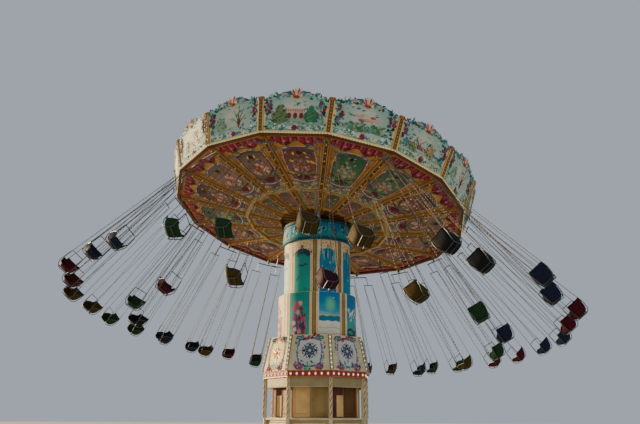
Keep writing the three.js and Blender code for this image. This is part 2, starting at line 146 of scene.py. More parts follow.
def material(name, colour, rough, metal=0, grime=0.3, scale=3.0, bump=0, coat=0, stops=None, glow=None):
    """Paint that is darker and duller in soft patches. With stops, the colour runs up the UV's second axis.

    glow is a colour, a place in the UVs and two radii, for a soft patch.
    """
    made = bpy.data.materials.new(name)
    made.use_nodes = True
    tree = made.node_tree
    shader = tree.nodes["Principled BSDF"]
    coords = node(tree, "TexCoord", {})
    place = coords.outputs["Object"]
    base = field(tree, coords, stops, glow) if stops else linear(colour)
    patches = spread(tree, noise(tree, place, scale), (0.35, 0.75))
    share = node(tree, "Math", {0: patches, 1: grime}, operation="MULTIPLY").outputs[0]
    worn = blended(tree, share, base, blended(tree, 1.0, base, linear(0x8C7B66), "MULTIPLY"))
    fleck = spread(tree, noise(tree, place, 55.0, 3.0), (0.62, 0.7, 0, 0.22))
    tree.links.new(blended(tree, fleck, worn, linear(0x4A3E30)), shader.inputs["Base Color"])
    dull = spread(tree, noise(tree, place, scale * 4), (None, None, rough * 0.8, min(1.0, rough * 1.35)))
    tree.links.new(dull, shader.inputs["Roughness"])
    shader.inputs["Metallic"].default_value = metal
    shader.inputs["Specular IOR Level"].default_value = 0.5 if coat or metal else 0.22
    shader.inputs["Coat Weight"].default_value = coat
    if bump:
        height = noise(tree, place, scale * 12)
        relief = node(tree, "Bump", {"Strength": bump, "Distance": 0.004, "Height": height})
        tree.links.new(relief.outputs[0], shader.inputs["Normal"])
    return made


def lamp(name, colour, strength):
    made = material(name, colour, 0.15, grime=0.05, coat=0.5)
    shader = made.node_tree.nodes["Principled BSDF"]
    shader.inputs["Emission Color"].default_value = linear(colour)
    shader.inputs["Emission Strength"].default_value = strength
    return made


PLAIN = (
    # roughness, metal, grime, scale of the patches and bump, for the paints that follow
    ((0.58, 0, 0.2, 3, 0), dict(
        rose=0xB8566A, wine=0x5F1A2C, plum=0x58364F, purple=0x7A4A86, lavender=0xCCCAC4, navy=0x2A3656,
        slate=0x5F7488, mist=0xB4C2B6, jade=0x3FA088, teal=0x1E7A70, aqua=0x8CC8BC, white=0xE6E4DA)),
    ((0.58, 0, 0.25, 3, 0), dict(
        crimson=0x96243C, sage=0x93A88E, moss=0x6C8458, green=0x3E7448, deep_teal=0x144A50, sea=0x1A7CA4)),
    ((0.58, 0, 0.3, 3, 0), dict(
        orange=0xC87A30, rust=0x9A4426, blush=0xD6A99A, red=0xAE3634, mauve=0x8E6378, forest=0x2F4A34)),
    ((0.58, 0, 0.3, 3, 0.03), dict(cream=0xE9D3A2, pale=0xE8D890)),
    ((0.58, 0, 0.35, 3, 0.03), dict(stone=0xD8CCA6)),
    ((0.58, 0, 0.4, 3, 0), dict(rosewood=0x6B3A32)),
    ((0.6, 0, 0.4, 3, 0), dict(dark=0x241C16)),
    ((0.5, 0, 0.4, 3, 0), dict(brown=0x704A24)),
    ((0.5, 0, 0.3, 3, 0.03), dict(sand=0xC4A676)),
    ((0.5, 0, 0.35, 3, 0.03), dict(olive=0xA3966A)),
    ((0.5, 0, 0.45, 2, 0.05), dict(tan=0xEEBE78, olive_tan=0xA68850, board=0xB98F54)),
    ((0.5, 0, 0.6, 2.5, 0.05), dict(bay_gold=0xBC8C46)),
    ((0.5, 0, 0.5, 4, 0.05), dict(rib_dark=0x5A3E1B)),
    ((0.45, 0.1, 0.5, 4, 0.05), dict(rib=0xB58444)),
    ((0.36, 0.2, 0.4, 5, 0.06), dict(gold=0xC09246)),
    ((0.42, 0.2, 0.4, 5, 0.06), dict(old_gold=0x7C5E2C)),
    ((0.42, 0.15, 0.4, 5, 0.06), dict(olive_gold=0x8E7029)),
    ((0.4, 0.5, 0.4, 6, 0.05), dict(steel=0x5C5F61)),
    ((0.45, 0.4, 0.4, 8, 0.2), dict(plate=0x77726A)),
    ((0.55, 0.3, 0.3, 20, 0), dict(chain=0x5E5446)),
    ((0.45, 0.5, 0.3, 20, 0), dict(frame_tube=0x4A5054)),
    ((0.22, 0.95, 0.15, 20, 0), dict(tube=0x8C8F92)),
    ((0.7, 0, 0.3, 30, 0.1), dict(rubber=0x1A1A1B)),
    ((0.6, 0.1, 0.5, 2, 0.1), dict(roof_sheet=0xCFC7AE)),
)
# Fields painted in bands of colour from foot to head
PAINTED = dict(
    sky=(0x9CB09C, 0xB0C0AE, 0xA6BCAE, 0x96B6AC), plum=(0x4A2A34, 0x7C5850, 0x8E6A5C, 0x5E5248),
    brown=(0x4E3030, 0x8C6A54, 0x98785E, 0x6A5C4A), rust=(0x5E2E22, 0x8A5038, 0x7C5444, 0x5A342A),
    green=(0x2A4A34, 0x4E7A4C, 0x44724E, 0x2E5A44), olive=(0x3C4430, 0x6A7454, 0x5C6E58, 0x44563E),
    teal=(0x14B09A, 0x04A48C, 0x02988C, 0x028884), mint=(0xB8D8B8, 0x9CCDB4, 0xA8D4B8, 0x8CC4A8),
    dune=(0xE0B078, 0xEBC48A, 0xF0D09A, 0xE6BE84), beach=(0xEAE6D2, 0xDCE4D2, 0x2F9EB4, 0x0F74B0),
    sea=(0x2C8C78, 0x3FA0A0, 0x1A7FB4, 0x0F6CA4), deep_sea=(0x2AA8C2, 0x1690B6, 0x0F7CA6, 0x1588A8),
    collar=(0x0F787E, 0x1CA0B2, 0x127CA8, 0x126692))
GLOWS = dict(beach=(0x6CC8A4, (0.02, 0.72), (0.27, 0.24)), sky=(0xCCCEB6, (0, 0.62), (0.62, 0.5)))
PAINT = {name: material(name + "_paint", colour, *finish)
         for finish, paints in PLAIN for name, colour in paints.items()}
for name, colours in PAINTED.items():
    stops = list(zip((0, 0.3, 0.6, 1.0), colours))
    panel = "panel_" + name
    PAINT[panel] = material(panel, 0, 0.55, grime=0.2, bump=0.03, stops=stops, glow=GLOWS.get(name))
PAINT.update(amber_bulb=lamp("amber_bulb", 0xE8B468, 0.3), rim_bulb=lamp("rim_bulb", 0xEBDD9E, 0.25),
             white_bulb=lamp("white_bulb", 0xFFF6E0, 0.8))
# Seat shells, which don't shine, so that low sun on a seat's side stays dark
SEAT_COLOURS = dict(navy=0x20253C, maroon=0x4A151E, green=0x223C24, gold=0x45381A, slate=0x38363F,
                    charcoal=0x1E2023, plum=0x38192A)
SEATS = {name: material("seat_shell_" + name, colour, 0.58, scale=9, grime=0.35, bump=0.03)
         for name, colour in SEAT_COLOURS.items()}
for shell in SEATS.values():
    shell.node_tree.nodes["Principled BSDF"].inputs["Specular IOR Level"].default_value = 0.05


# Building pieces

LEAF = ((0, 0), (0.25, -0.42), (0.55, -0.5), (0.82, -0.28), (1, 0), (0.82, 0.28), (0.55, 0.5), (0.25, 0.42))


def circle(count, phase=0):
    """Cosines and sines of the angles all round."""
    return [(cos(a), sin(a)) for a in (phase + 2 * pi * i / count for i in range(count))]


class Piece:
    """Collects faces in several paints, then makes one object of them."""

    def __init__(self, name):
        self.name = name
        self.points, self.faces, self.uvs, self.paints, self.slots = [], [], [], [], []

    def add(self, place, points, faces, paint, uv=None):
        """Faces over points given in the frame of the matrix place. uv maps a point to its UV."""
        start = len(self.points)
        self.points += [place @ Vector(p) for p in points]
        if paint not in self.paints:
            self.paints.append(paint)
        for face in faces:
            self.faces.append([start + i for i in face])
            self.slots.append(self.paints.index(paint))
            self.uvs += [uv(points[i]) if uv else (points[i][0], points[i][1]) for i in face]

    def done(self, body, replaces=(), slot=None, smooth=0, place=None, seat=None):
        """Makes the object. seat is the material for the faces whose paint is called that."""
        mesh = bpy.data.meshes.new(self.name)
        mesh.from_pydata([tuple(p) for p in self.points], [], self.faces)
        layer = mesh.uv_layers.new(name="UVMap")
        for loop, uv in zip(layer.data, self.uvs):
            loop.uv = uv
        for paint in self.paints:
            mesh.materials.append(seat if paint == "seat" else PAINT[paint])
        mesh.polygons.foreach_set("material_index", self.slots)
        if smooth:
            mesh.shade_smooth()
            mesh.set_sharp_from_angle(angle=radians(smooth))
        mesh.update()
        made = bpy.data.objects.new(self.name, mesh)
        bpy.context.scene.collection.objects.link(made)
        if place:
            made.matrix_world = place
        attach(made, body)
        if replaces:
            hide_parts(*replaces)


class Brush:
    """Adds shapes to a piece at a place, whose x runs across its surface, y up it and z out of it."""

    def __init__(self, piece, place, rng=None):
        self.piece, self.place, self.rng = piece, place, rng

    def add(self, points, faces, paint, uv=None):
        self.piece.add(self.place, points, faces, paint, uv)

    def plate(self, outline, low, high, paint, uv=None):
        """Flat shape with its top at high and walls down to low."""
        n = len(outline)
        points = [(x, y, high) for x, y in outline] + [(x, y, low) for x, y in outline]
        walls = [[i, n + i, n + (i + 1) % n, (i + 1) % n] for i in range(n)]
        self.add(points, [list(range(n))] + walls, paint, uv)

    def slab(self, outline, low, high, paint):
        """A plate with a back as well."""
        self.plate(outline, low, high, paint)
        self.add([(x, y, low) for x, y in outline], [list(range(len(outline)))[::-1]], paint)

    def dome(self, outline, low, peak, paint):
        """Low relief that rises from its outline to its middle."""
        n = len(outline)
        middle = (sum(x for x, _ in outline) / n, sum(y for _, y in outline) / n, peak)
        points = [(x, y, low) for x, y in outline] + [middle]
        self.add(points, [[i, (i + 1) % n, n] for i in range(n)], paint)

    def leaf(self, x, y, length, width, turn, paint, low=0, rise=0.008):
        """Pointed leaf that starts at x, y and grows along turn."""
        c, s = cos(turn), sin(turn)
        outline = [(x + c * a * length - s * b * width, y + s * a * length + c * b * width) for a, b in LEAF]
        self.dome(outline, low, low + rise, paint)

    def flower(self, x, y, radius, paint, heart="pale", petals=6, low=0, turn=0):
        for k in range(petals):
            self.leaf(x, y, radius, radius * 0.75, turn + 2 * pi * k / petals, paint, low, 0.012)
        self.dome(ellipse(x, y, radius * 0.28, radius * 0.28, 8), low + 0.006, low + 0.018, heart)

    def ribbon(self, path, width, paint, low=0, rise=0.008):
        """Band with a raised middle along a path. width is a number, or a function of the way along."""
        rows, faces = [], []
        last = len(path) - 1
        for i, (x, y) in enumerate(path):
            (x0, y0), (x1, y1) = path[max(0, i - 1)], path[min(last, i + 1)]
            way = hypot(x1 - x0, y1 - y0) or 1.0
            half = (width(i / last) if callable(width) else width) / 2
            nx, ny = -(y1 - y0) / way * half, (x1 - x0) / way * half
            rows += [(x + nx, y + ny, low), (x, y, low + rise), (x - nx, y - ny, low)]
        for a in range(0, 3 * last, 3):
            faces += [[a + 3, a + 4, a + 1, a], [a + 4, a + 5, a + 2, a + 1]]
        self.add(rows, faces, paint)

    def hoop(self, outline, width, paint, low=0, rise=0.008):
        """Ribbon round a closed outline."""
        self.ribbon(outline + outline[:1], width, paint, low, rise)

    def scroll(self, x, y, radius, start, turns, hand, width, paint, low=0, rise=0.008, count=16):
        """Ribbon that winds in to its middle."""
        path = []
        for i in range(count):
            t = i / (count - 1)
            a, r = start + hand * turns * 2 * pi * t, radius * (1 - 0.85 * t)
            path.append((x + r * cos(a), y + r * sin(a)))
        self.ribbon(path, width, paint, low, rise)

    def bulb(self, x, y, z, radius, paint):
        sides = 6
        points = [(x + radius * f * c, y + radius * f * s, z + radius * h)
                  for f, h in ((1.0, 0), (0.8, 0.62)) for c, s in circle(sides)]
        points.append((x, y, z + radius))
        faces = [[k, (k + 1) % sides, sides + (k + 1) % sides, sides + k] for k in range(sides)]
        faces += [[sides + k, sides + (k + 1) % sides, 2 * sides] for k in range(sides)]
        self.add(points, faces, paint)

    def tube(self, path, radius, paint, sides=6, closed=False):
        """Round bar along a path of points."""
        pts = [Vector(p) for p in path]
        n = len(pts)
        rings, faces = [], []
        side = None
        for i, p in enumerate(pts):
            before = pts[i - 1] if i or closed else p
            after = pts[(i + 1) % n] if i < n - 1 or closed else p
            way = (after - before).normalized()
            if side is None:
                side = way.orthogonal().normalized()
            side = (side - way * side.dot(way)).normalized()
            other = way.cross(side)
            rings += [tuple(p + (side * c + other * s) * radius) for c, s in circle(sides)]
        for i in range(n if closed else n - 1):
            a, b = i * sides, (i + 1) % n * sides
            faces += [[a + k, a + (k + 1) % sides, b + (k + 1) % sides, b + k] for k in range(sides)]
        if not closed:
            faces += [list(range(sides))[::-1], [(n - 1) * sides + k for k in range(sides)]]
        self.add(rings, faces, paint)

    def turned(self, profile, sides, paint, phase=0):
        """Ring of flat sides round +Z through (radius, height) points."""
        m = len(profile)
        points = [(r * c, r * s, z) for c, s in circle(sides, phase) for r, z in profile]
        faces = []
        for k in range(sides):
            a, b = k * m, (k + 1) % sides * m
            faces += [[a + i, b + i, b + i + 1, a + i + 1] for i in range(m - 1)]
        self.add(points, faces, paint)

    def band(self, u0, u1, low, high, lift, paint, steps=8, uv=None):
        """Plate that follows a column's curve. low and high are heights, or functions of the share across."""
        points, faces = [], []
        for i in range(steps + 1):
            t = i / steps
            u = u0 + (u1 - u0) * t
            lo, hi = (end(t) if callable(end) else end for end in (low, high))
            points += [(u, lo, 0), (u, lo, lift), (u, hi, lift), (u, hi, 0)]
        for b in range(0, 4 * steps, 4):
            faces += [[b + j, b + 4 + j, b + 5 + j, b + 1 + j] for j in range(3)]
        n = 4 * steps
        self.add(points, faces + [[0, 1, 2, 3], [n + 3, n + 2, n + 1, n]], paint, uv)

    def spots(self, count, x0, x1, y0, y1):
        """Places at random in a rectangle."""
        return [(self.rng.uniform(x0, x1), self.rng.uniform(y0, y1)) for _ in range(count)]

    def scatter(self, spots, paints, length, low=0.004, turn=None, rise=0.008):
        """One leaf at each spot, in one of the paints. turn is an angle, or a function of the spot."""
        rng = self.rng
        for x, y in spots:
            if turn is None:
                way = rng.uniform(0, 2 * pi)
            else:
                way = (turn(x, y) if callable(turn) else turn) + rng.uniform(-0.6, 0.6)
            size = length * rng.uniform(0.7, 1.3)
            self.leaf(x, y, size, size * rng.uniform(0.38, 0.58), way, rng.choice(paints.split()), low, rise)


def rect(x0, x1, y0, y1):
    return [(x0, y0), (x1, y0), (x1, y1), (x0, y1)]


def ellipse(x, y, half_w, half_h, count=12):
    return [(x + half_w * c, y + half_h * s) for c, s in circle(count)]


def lozenge(y, half_w, half_h):
    return [(-half_w, y), (0, y - half_h), (half_w, y), (0, y + half_h)]


def rounded(count, power, lobe):
    """Points round a rounded square from -1 to 1, each with the swell of the eight lobes there."""
    for a in (2 * pi * i / count for i in range(count)):
        x, y = (copysign(abs(way) ** power, way) for way in (cos(a), sin(a)))
        yield x, y, 1 + lobe * cos(8 * a)


def nth(names, k):
    """The kth of the names in a string, over and over."""
    names = names.split()
    return names[k % len(names)]


def taper(wide, tip):
    """Width of a ribbon that narrows along its path."""
    return lambda t: wide * (1 - t) + tip


def axes(u, v, w, at):
    """Matrix whose axes are u, v and w and whose origin is at."""
    return Matrix.Translation(at) @ Matrix((u, v, w)).transposed().to_4x4()


def facing(at, v, hand=1):
    """Place whose x runs along Y, y along v in the XZ plane, and z outwards, or inwards if hand is -1."""
    return axes((0, hand, 0), v, (v[2] * hand, 0, -v[0] * hand), at)


# Places on the canopy

WORLD = Matrix.Identity(4)
SPIN = JOINTS["canopy_spin"]
CANOPY_TURN = Vector((0, 0, 1)).rotation_difference(Vector(SPIN["axis"]).normalized())
CANOPY = Matrix.Translation(SPIN["pos_m"]) @ CANOPY_TURN.to_matrix().to_4x4()
BAYS = [RIB_PHASE + (2 * k + 1) * HALF_BAY for k in range(RIBS)]
CORNERS = [RIB_PHASE + 2 * k * HALF_BAY for k in range(RIBS)]


def spun(angle, r, z, v, hand=1):
    """Place on the canopy at a radius and height, turned to an angle."""
    return CANOPY @ Matrix.Rotation(angle, 4, "Z") @ facing(Vector((r, 0, z)), v, hand)


def by_quarters(name, replaces, slot, *dress):
    """Four pieces for the canopy, each from the functions in dress on four bays and their first corners."""
    for quarter in range(4):
        piece = Piece(f"{name}_{quarter + 1}")
        for k in range(4 * quarter, 4 * quarter + 4):
            for part in dress:
                part(piece, k)
        piece.done("canopy", replaces, slot)


def ceiling_z(r):
    """Height of the underside between the ribs."""
    if r > RING_R:
        return RIM_Z - RING_DROP * (1 - (r - RING_R) / (CEILING_R - RING_R))
    return RIM_Z - RING_DROP - (HOLE_DROP - RING_DROP) * (r - RING_R) / (HOLE_R - RING_R)


def ceiling_place(angle, inner):
    """On a bay's underside: x along the bay, y outwards from the tower's axis, z downwards."""
    r0, r1 = (HOLE_R, RING_R) if inner else (RING_R, CEILING_R)
    step = 1e-6  # off the ring, where the slope changes
    slope = atan2(ceiling_z(r1 - step) - ceiling_z(r0 + step), (r1 - r0) * FLAT)
    foot = ceiling_z(r0 if inner else r0 + step)
    return spun(angle, r0 * FLAT, foot, (cos(slope), 0, sin(slope)))


# Rounding boards

BOARD_HALF = RIM_R * sin(HALF_BAY) - 0.015
BOARD_FLARE = (BOARD_TOP_R - RIM_R) * sin(HALF_BAY)
SHOULDER = 0.93 * BOARD_H * BOARD_SLOPE
ARCH = 1.30
SIDE_STRIP = 0.155


def arch(u, inset=0):
    """Height of a board's top edge at u, lower by the inset."""
    t = min(1.0, abs(u) / (BOARD_HALF + 0.06))
    return SHOULDER + (ARCH - SHOULDER) * cos(t * pi / 2) ** 0.8 - inset


def side(v):
    """Half width of the painted field at height v."""
    return BOARD_HALF + BOARD_FLARE * v / (BOARD_H * BOARD_SLOPE) - SIDE_STRIP


def board_shape(margin, foot, inset):
    """Outline of a board, in from its sides by the margin and from its top by the inset."""
    count = 20
    top_half = BOARD_HALF + 0.93 * BOARD_FLARE - margin
    top = [top_half * (1 - 2 * i / count) for i in range(count + 1)]
    return [(-(BOARD_HALF - margin), foot), (BOARD_HALF - margin, foot)] + [(u, arch(u, inset)) for u in top]


def hill(on, base, swell, phase, level, paint, foot=0.05):
    half = side(base)
    top = [(x, base + swell * sin(x * 2.6 + phase) + 0.03 * sin(x * 7 + phase))
           for x in (-half + 2 * half * i / 16 for i in range(17))]
    on.plate([(-side(foot), foot), (side(foot), foot)] + top[::-1], 0, level, paint)


def bare_tree(on, x, y, height):
    for way, reach in ((1.2, 1.0), (1.5, 1.12), (1.85, 0.95), (0.95, 0.7), (2.15, 0.66)):
        tip = (x + cos(way) * reach * height, y + sin(way) * reach * height)
        bend = (x + (tip[0] - x) * 0.2, y + (tip[1] - y) * 0.5)
        on.ribbon([(x, y), bend, tip], taper(0.045, 0.008), "brown", 0.01, 0.012)


def round_tree(on, x, y, size, crown, leaves):
    for dx, dy, r in ((0, 0.1, 0.42), (-0.2, 0.3, 0.34), (0.2, 0.34, 0.34), (0, 0.58, 0.3), (0, 0.84, 0.18)):
        on.dome(ellipse(x + dx * size, y + dy * size, r * size, r * size * 0.8, 10), 0.01, 0.026, crown)
    spots = [(x + u * size, y + v * size) for u, v in on.spots(28, -0.4, 0.4, -0.1, 0.95)]
    on.scatter(spots, leaves, 0.08, 0.02)


def arched_bridge(on, y):
    """Low balustrade over three arches."""
    on.plate([(-0.34, y), (0.34, y), (0.3, y + 0.17), (-0.3, y + 0.17)], 0, 0.012, "blush")
    for x in (-0.2, 0, 0.2):
        on.plate(ellipse(x, y + 0.03, 0.07, 0.1), 0, 0.015, "rosewood")
    for k in range(11):
        on.plate(ellipse((k - 5) * 0.058, y + 0.2, 0.014, 0.04, 8), 0, 0.016, "rose")
    on.ribbon([(-0.34, y + 0.25), (0.34, y + 0.25)], 0.03, "blush", 0.006, 0.014)


def peaks(on, y):
    for x, w, h, paint in ((-0.5, 0.4, 0.34, "slate"), (0.1, 0.5, 0.44, "mauve"), (0.6, 0.36, 0.3, "slate")):
        on.dome([(x - w, y), (x + w, y), (x + 0.05, y + h), (x - 0.04, y + h)], 0.004, 0.016, paint)
        snow = [(x - w * 0.5, y + h * 0.4), (x, y + h * 0.3), (x + w * 0.55, y + h * 0.4)]
        on.dome(snow + [(x + 0.04, y + h), (x - 0.03, y + h)], 0.012, 0.024, "mist")


def reed_bed(on):
    """Pink clouds over low bushes and reeds."""
    rng = on.rng
    for x, y, w, paint in (
            (-0.24, 0.78, 0.16, "blush"), (0.06, 0.86, 0.15, "stone"), (0.34, 0.74, 0.17, "blush"),
            (0.08, 0.7, 0.2, "sand"), (-0.12, 0.66, 0.12, "mauve"), (0.24, 0.82, 0.1, "rose")):
        on.dome(ellipse(x, y, w, 0.05), 0.008, 0.02, paint)
    on.scatter(on.spots(30, -0.55, 0.6, 0.34, 0.56), "moss green sage", 0.2, 0.008, 0.2)
    for x, w in ((-0.36, 0.2), (-0.1, 0.24), (0.2, 0.22), (0.46, 0.18)):
        on.dome(ellipse(x, 0.32, w, 0.1, 14), 0.006, 0.014, "green" if w > 0.2 else "moss")
    for k in range(40):
        x = -0.52 + 1.12 * (k + rng.uniform(0, 1.0)) / 40
        on.leaf(x, 0.26 + 0.04 * sin(5 * x), rng.uniform(0.14, 0.34), 0.05, 1.57 + rng.uniform(-0.55, 0.55),
                rng.choice(["green", "green", "moss", "sage", "jade"]), 0.014, 0.01)


def landscape(on, index):
    """Misty park scene, one of four kinds in turn."""
    kind = (index + 2) % 4
    on.plate(board_shape(SIDE_STRIP, 0.035, 0.02), 0, 0.004, "panel_sky",
             uv=lambda p: (p[0], min(1.0, max(0, (p[1] - 0.1) / 1.1))))
    on.scatter(on.spots(34, -0.8, 0.8, 0.5, 1.12), "mist slate aqua sage stone", 0.13, 0.004, 0.3)
    if kind == 3:
        peaks(on, 0.42)
    hill(on, 0.42, 0.05, index * 2.3 + 1, 0.007, "mist" if kind == 0 else "sage")
    if kind == 0:
        bare_tree(on, 0.22, 0.3, 0.7)
        round_tree(on, -0.5, 0.36, 0.42, "sage", "moss green aqua")
    elif kind == 1:
        arched_bridge(on, 0.5)
        round_tree(on, -0.5, 0.34, 0.56, "moss", "forest green rosewood")
        round_tree(on, 0.52, 0.38, 0.5, "green", "jade moss teal")
    elif kind == 2:
        reed_bed(on)
    else:
        round_tree(on, -0.45, 0.34, 0.36, "moss", "sage sand forest")
        round_tree(on, 0.3, 0.44, 0.4, "olive", "moss sand forest")
        any_of = on.rng.uniform
        for _ in range(12):
            on.leaf(any_of(-0.3, 0.6), any_of(0.3, 0.6), any_of(0.2, 0.34), 0.04, 2.3 + any_of(-0.3, 0.3),
                    on.rng.choice(["brown", "tan", "blush"]), 0.014, 0.01)
    hill(on, 0.27, 0.03, index * 0.9 + 2, 0.012, nth("mist sage mist stone", kind))
    on.scatter(on.spots(26, -0.85, 0.85, 0.16, 0.4), "sage aqua teal mist slate", 0.12, 0.013, 0.2)


def crest(on):
    """Fan of plumes over the middle of a board, between scrolls and leaves."""
    foot = ARCH - 0.14
    for k in range(11):
        on.leaf((k - 5) * 0.018, foot, 0.34 - 0.008 * (k - 5) ** 2, 0.075, pi / 2 - (k - 5) * 0.2,
                nth("cream rust blush rose stone", k), 0.02 + 0.005 * (k % 2), 0.02)
    on.dome(ellipse(0, foot, 0.11, 0.05), 0.03, 0.05, "rust")
    for s in (-1, 1):
        on.scroll(s * 0.26, arch(0.28) - 0.02, 0.09, pi / 2, 1.1, s, 0.042, "slate", 0.024, 0.014)
        on.ribbon([(s * 0.2, arch(0.22) + 0.04), (s * 0.4, arch(0.4) + 0.03), (s * 0.6, arch(0.6))],
                  taper(0.08, 0.012), "teal", 0.008, 0.02)
        on.leaf(s * 0.2, arch(0.2) - 0.1, 0.24, 0.08, pi / 2 - s * 1.2, "aqua", 0.022, 0.014)
        on.flower(s * 0.44, arch(0.44) - 0.03, 0.07, "blush", "rose", 5, 0.026)


# Roses up a board's sides: height, size and paint
ROSES = ((0.56, 0.05, "navy"), (0.63, 0.065, "wine"), (0.7, 0.055, "plum"), (0.76, 0.07, "crimson"),
         (0.83, 0.055, "plum"), (0.89, 0.06, "mauve"), (0.95, 0.06, "wine"), (1.0, 0.05, "slate"))


def border(on):
    """Scrolls and leaves along the foot, leaves over the arch, and climbing roses at both sides."""
    rng = on.rng
    for k in range(17):
        on.scroll((k - 8) * 0.115, 0.11 + 0.03 * (k % 2), 0.066, 0.4 * k, 0.9, 1 if k % 2 else -1, 0.034,
                  nth("teal aqua white jade sea", k), 0.018, 0.01, count=8)
    foot = [(-0.94 + 0.0325 * i, 0.11 + rng.uniform(-0.07, 0.09)) for i in range(58)]
    on.scatter(foot, "teal white jade white aqua mist white sage pale pale", 0.12, 0.016,
               lambda x, y: 0.3 if int(x * 40) % 2 else 2.8)
    top = [(u, arch(u) - rng.uniform(0.01, 0.17)) for u in (-1.06 + 2.12 * i / 71 for i in range(72))]
    on.scatter(top, "teal deep_teal slate jade navy aqua forest mist", 0.14, 0.012,
               lambda x, y: (0.7 if int(x * 40) % 2 else 2.4) - x * 0.4)
    on.flower(0, 0.13, 0.11, "crimson", "navy", low=0.026)
    for s in (-1, 1):
        vine = [(s * (side(y) - rng.uniform(-0.02, 0.22)), y) for y in (0.14 + 0.024 * i for i in range(38))]
        on.scatter(vine, "aqua teal mist jade slate deep_teal", 0.12, 0.014)
        for y, r, paint in ROSES:
            on.flower(s * (side(y) - rng.uniform(0, 0.2)), y, r * rng.uniform(0.9, 1.3), paint,
                      rng.choice(["rose", "wine"]), low=0.022, turn=y * 9)


def board(piece, k):
    up = (sin(BOARD_LEAN), 0, cos(BOARD_LEAN))
    on = Brush(piece, spun(BAYS[k], RIM_R * FLAT, RIM_Z + 0.01, up), random.Random(k))
    on.slab(board_shape(0, -0.005, 0), -0.045, 0, "pale")
    landscape(on, k)
    border(on)
    crest(on)


def corner_post(piece, k):
    """Gold post between two boards: raised edges, red and brown lozenges, and a cap."""
    lean = atan((BOARD_TOP_R - RIM_R) / BOARD_H)
    on = Brush(piece, spun(CORNERS[k], RIM_R, RIM_Z + 0.012, (sin(lean), 0, cos(lean))))
    top, half = BOARD_H / cos(lean), POST_W / 2
    on.slab(rect(-half, half, -0.01, top), -0.045, 0.028, "gold")
    on.plate(rect(-0.045, 0.045, 0.01, top - 0.06), 0.028, 0.03, "brown")
    for x in (half - 0.01, -half + 0.01, 0.046, -0.046):
        on.ribbon([(x, 0), (x, top)], 0.02, "cream" if abs(x) > 0.05 else "old_gold", 0.028, 0.01)
    for j in range(9):
        y = 0.08 + j * 0.112
        on.dome(lozenge(y, 0.034, 0.05), 0.03, 0.04, nth("rust olive_gold", j))
        on.dome(ellipse(0, y, 0.013, 0.013, 6), 0.036, 0.046, "cream")
    for s in (-1, 1):
        on.scroll(s * 0.07, top - 0.05, 0.045, pi / 2, 1.2, s, 0.03, "olive_gold", 0.03, 0.02)
    for j in range(5):
        on.leaf(0, top - 0.12, 0.15, 0.05, pi / 2 + (j - 2) * 0.4, nth("rust gold", j), 0.034, 0.02)
    cap = [(-half - 0.015, top - 0.02), (half + 0.015, top - 0.02), (half, top + 0.015), (-half, top + 0.015)]
    on.slab(cap, -0.05, 0.036, "olive_gold")


def rounding_boards():
    by_quarters("painted_boards", ["rounding_boards"], "board", board, corner_post)


def rim_lamps():
    """Pale moulding along the lower edge of the boards, over a dark strip of painted shade, with a close row
    of bulbs.
    """
    piece = Piece("rim_lamps")
    half = RIM_R * sin(HALF_BAY)
    for angle in BAYS:
        on = Brush(piece, spun(angle, RIM_R * FLAT, RIM_Z, (0, 0, 1)))
        on.slab(rect(-half, half, -0.066, 0.022), -0.02, 0.022, "pale")
        # the dark rosewood strip under the moulding is a painted shadow line
        on.slab(rect(-half, half, -0.094, -0.061), -0.02, 0.012, "rosewood")
        on.ribbon([(-half, 0.012), (half, 0.012)], 0.02, "cream", 0.022, 0.008)
        for k in range(22):
            on.bulb((k - 10.5) * 2 * half / 22, -0.05, 0.018, 0.028, "rim_bulb")
    piece.done("canopy", slot="gold")


# Ceiling

def bay_half(v, inner, margin=0):
    """Half the width between the ribs at v up a bay."""
    r0 = HOLE_R if inner else RING_R
    return (r0 * FLAT + v * 0.99) * tan(HALF_BAY) - RIB_W / 2 - margin


def trapezium(v0, v1, inner):
    """Panel between two ribs with cut corners."""
    a, b, cut = bay_half(v0, inner), bay_half(v1, inner), 0.01
    return [(-a + cut, v0), (a - cut, v0), (a, v0 + cut), (b, v1 - cut), (b - cut, v1), (-b + cut, v1),
            (-b, v1 - cut), (-a, v0 + cut)]


def medallion(v0, v1, w0, w1, count=36):
    """Outline of a tapering painted panel with lobed sides."""
    out = []
    for x, y, lobes in rounded(count, 0.45, 0.035):
        t = (y + 1) / 2
        out.append((x * (w0 + (w1 - w0) * t) * lobes, v0 + (v1 - v0) * (0.5 + (t - 0.5) * lobes)))
    return out


def drape(on, x, y, half, drop):
    """Gathered cloth that hangs from two knots, in pleats of three reds: wine is painted shade and rose is
    painted highlight on the folds.
    """
    folds = 12
    for i in range(folds):
        t0, t1 = i / folds, (i + 1) / folds
        x0, x1 = x - half + 2 * half * t0, x - half + 2 * half * t1
        d0, d1 = drop * sin(pi * t0) + 0.05, drop * sin(pi * t1) + 0.05
        lift = 0.012 + 0.012 * (i % 2)
        quad = [(x0, y - d0, lift), (x1, y - d1, 0.036 - lift), (x1, y, 0.036 - lift), (x0, y, lift)]
        # wine pleats are painted shade and rose pleats painted highlight on the red cloth
        on.add(quad, [[0, 1, 2, 3]], nth("wine crimson crimson rose", i * 3 + int(x * 10)))
    hem = [(x - half + 2 * half * t, y - drop * sin(pi * t) - 0.05) for t in (i / 10 for i in range(11))]
    on.ribbon(hem, 0.03, "wine", 0.02, 0.012)


# Places of a bouquet's flowers, over the vase, in shares of its size
BLOOMS = ((0, 0.95), (-0.4, 0.62), (0.4, 0.66), (-0.2, 1.22), (0.24, 1.25), (0.02, 0.5), (-0.5, 1.0),
          (0.52, 1.02), (0, 1.52), (-0.26, 0.86), (0.25, 0.88))


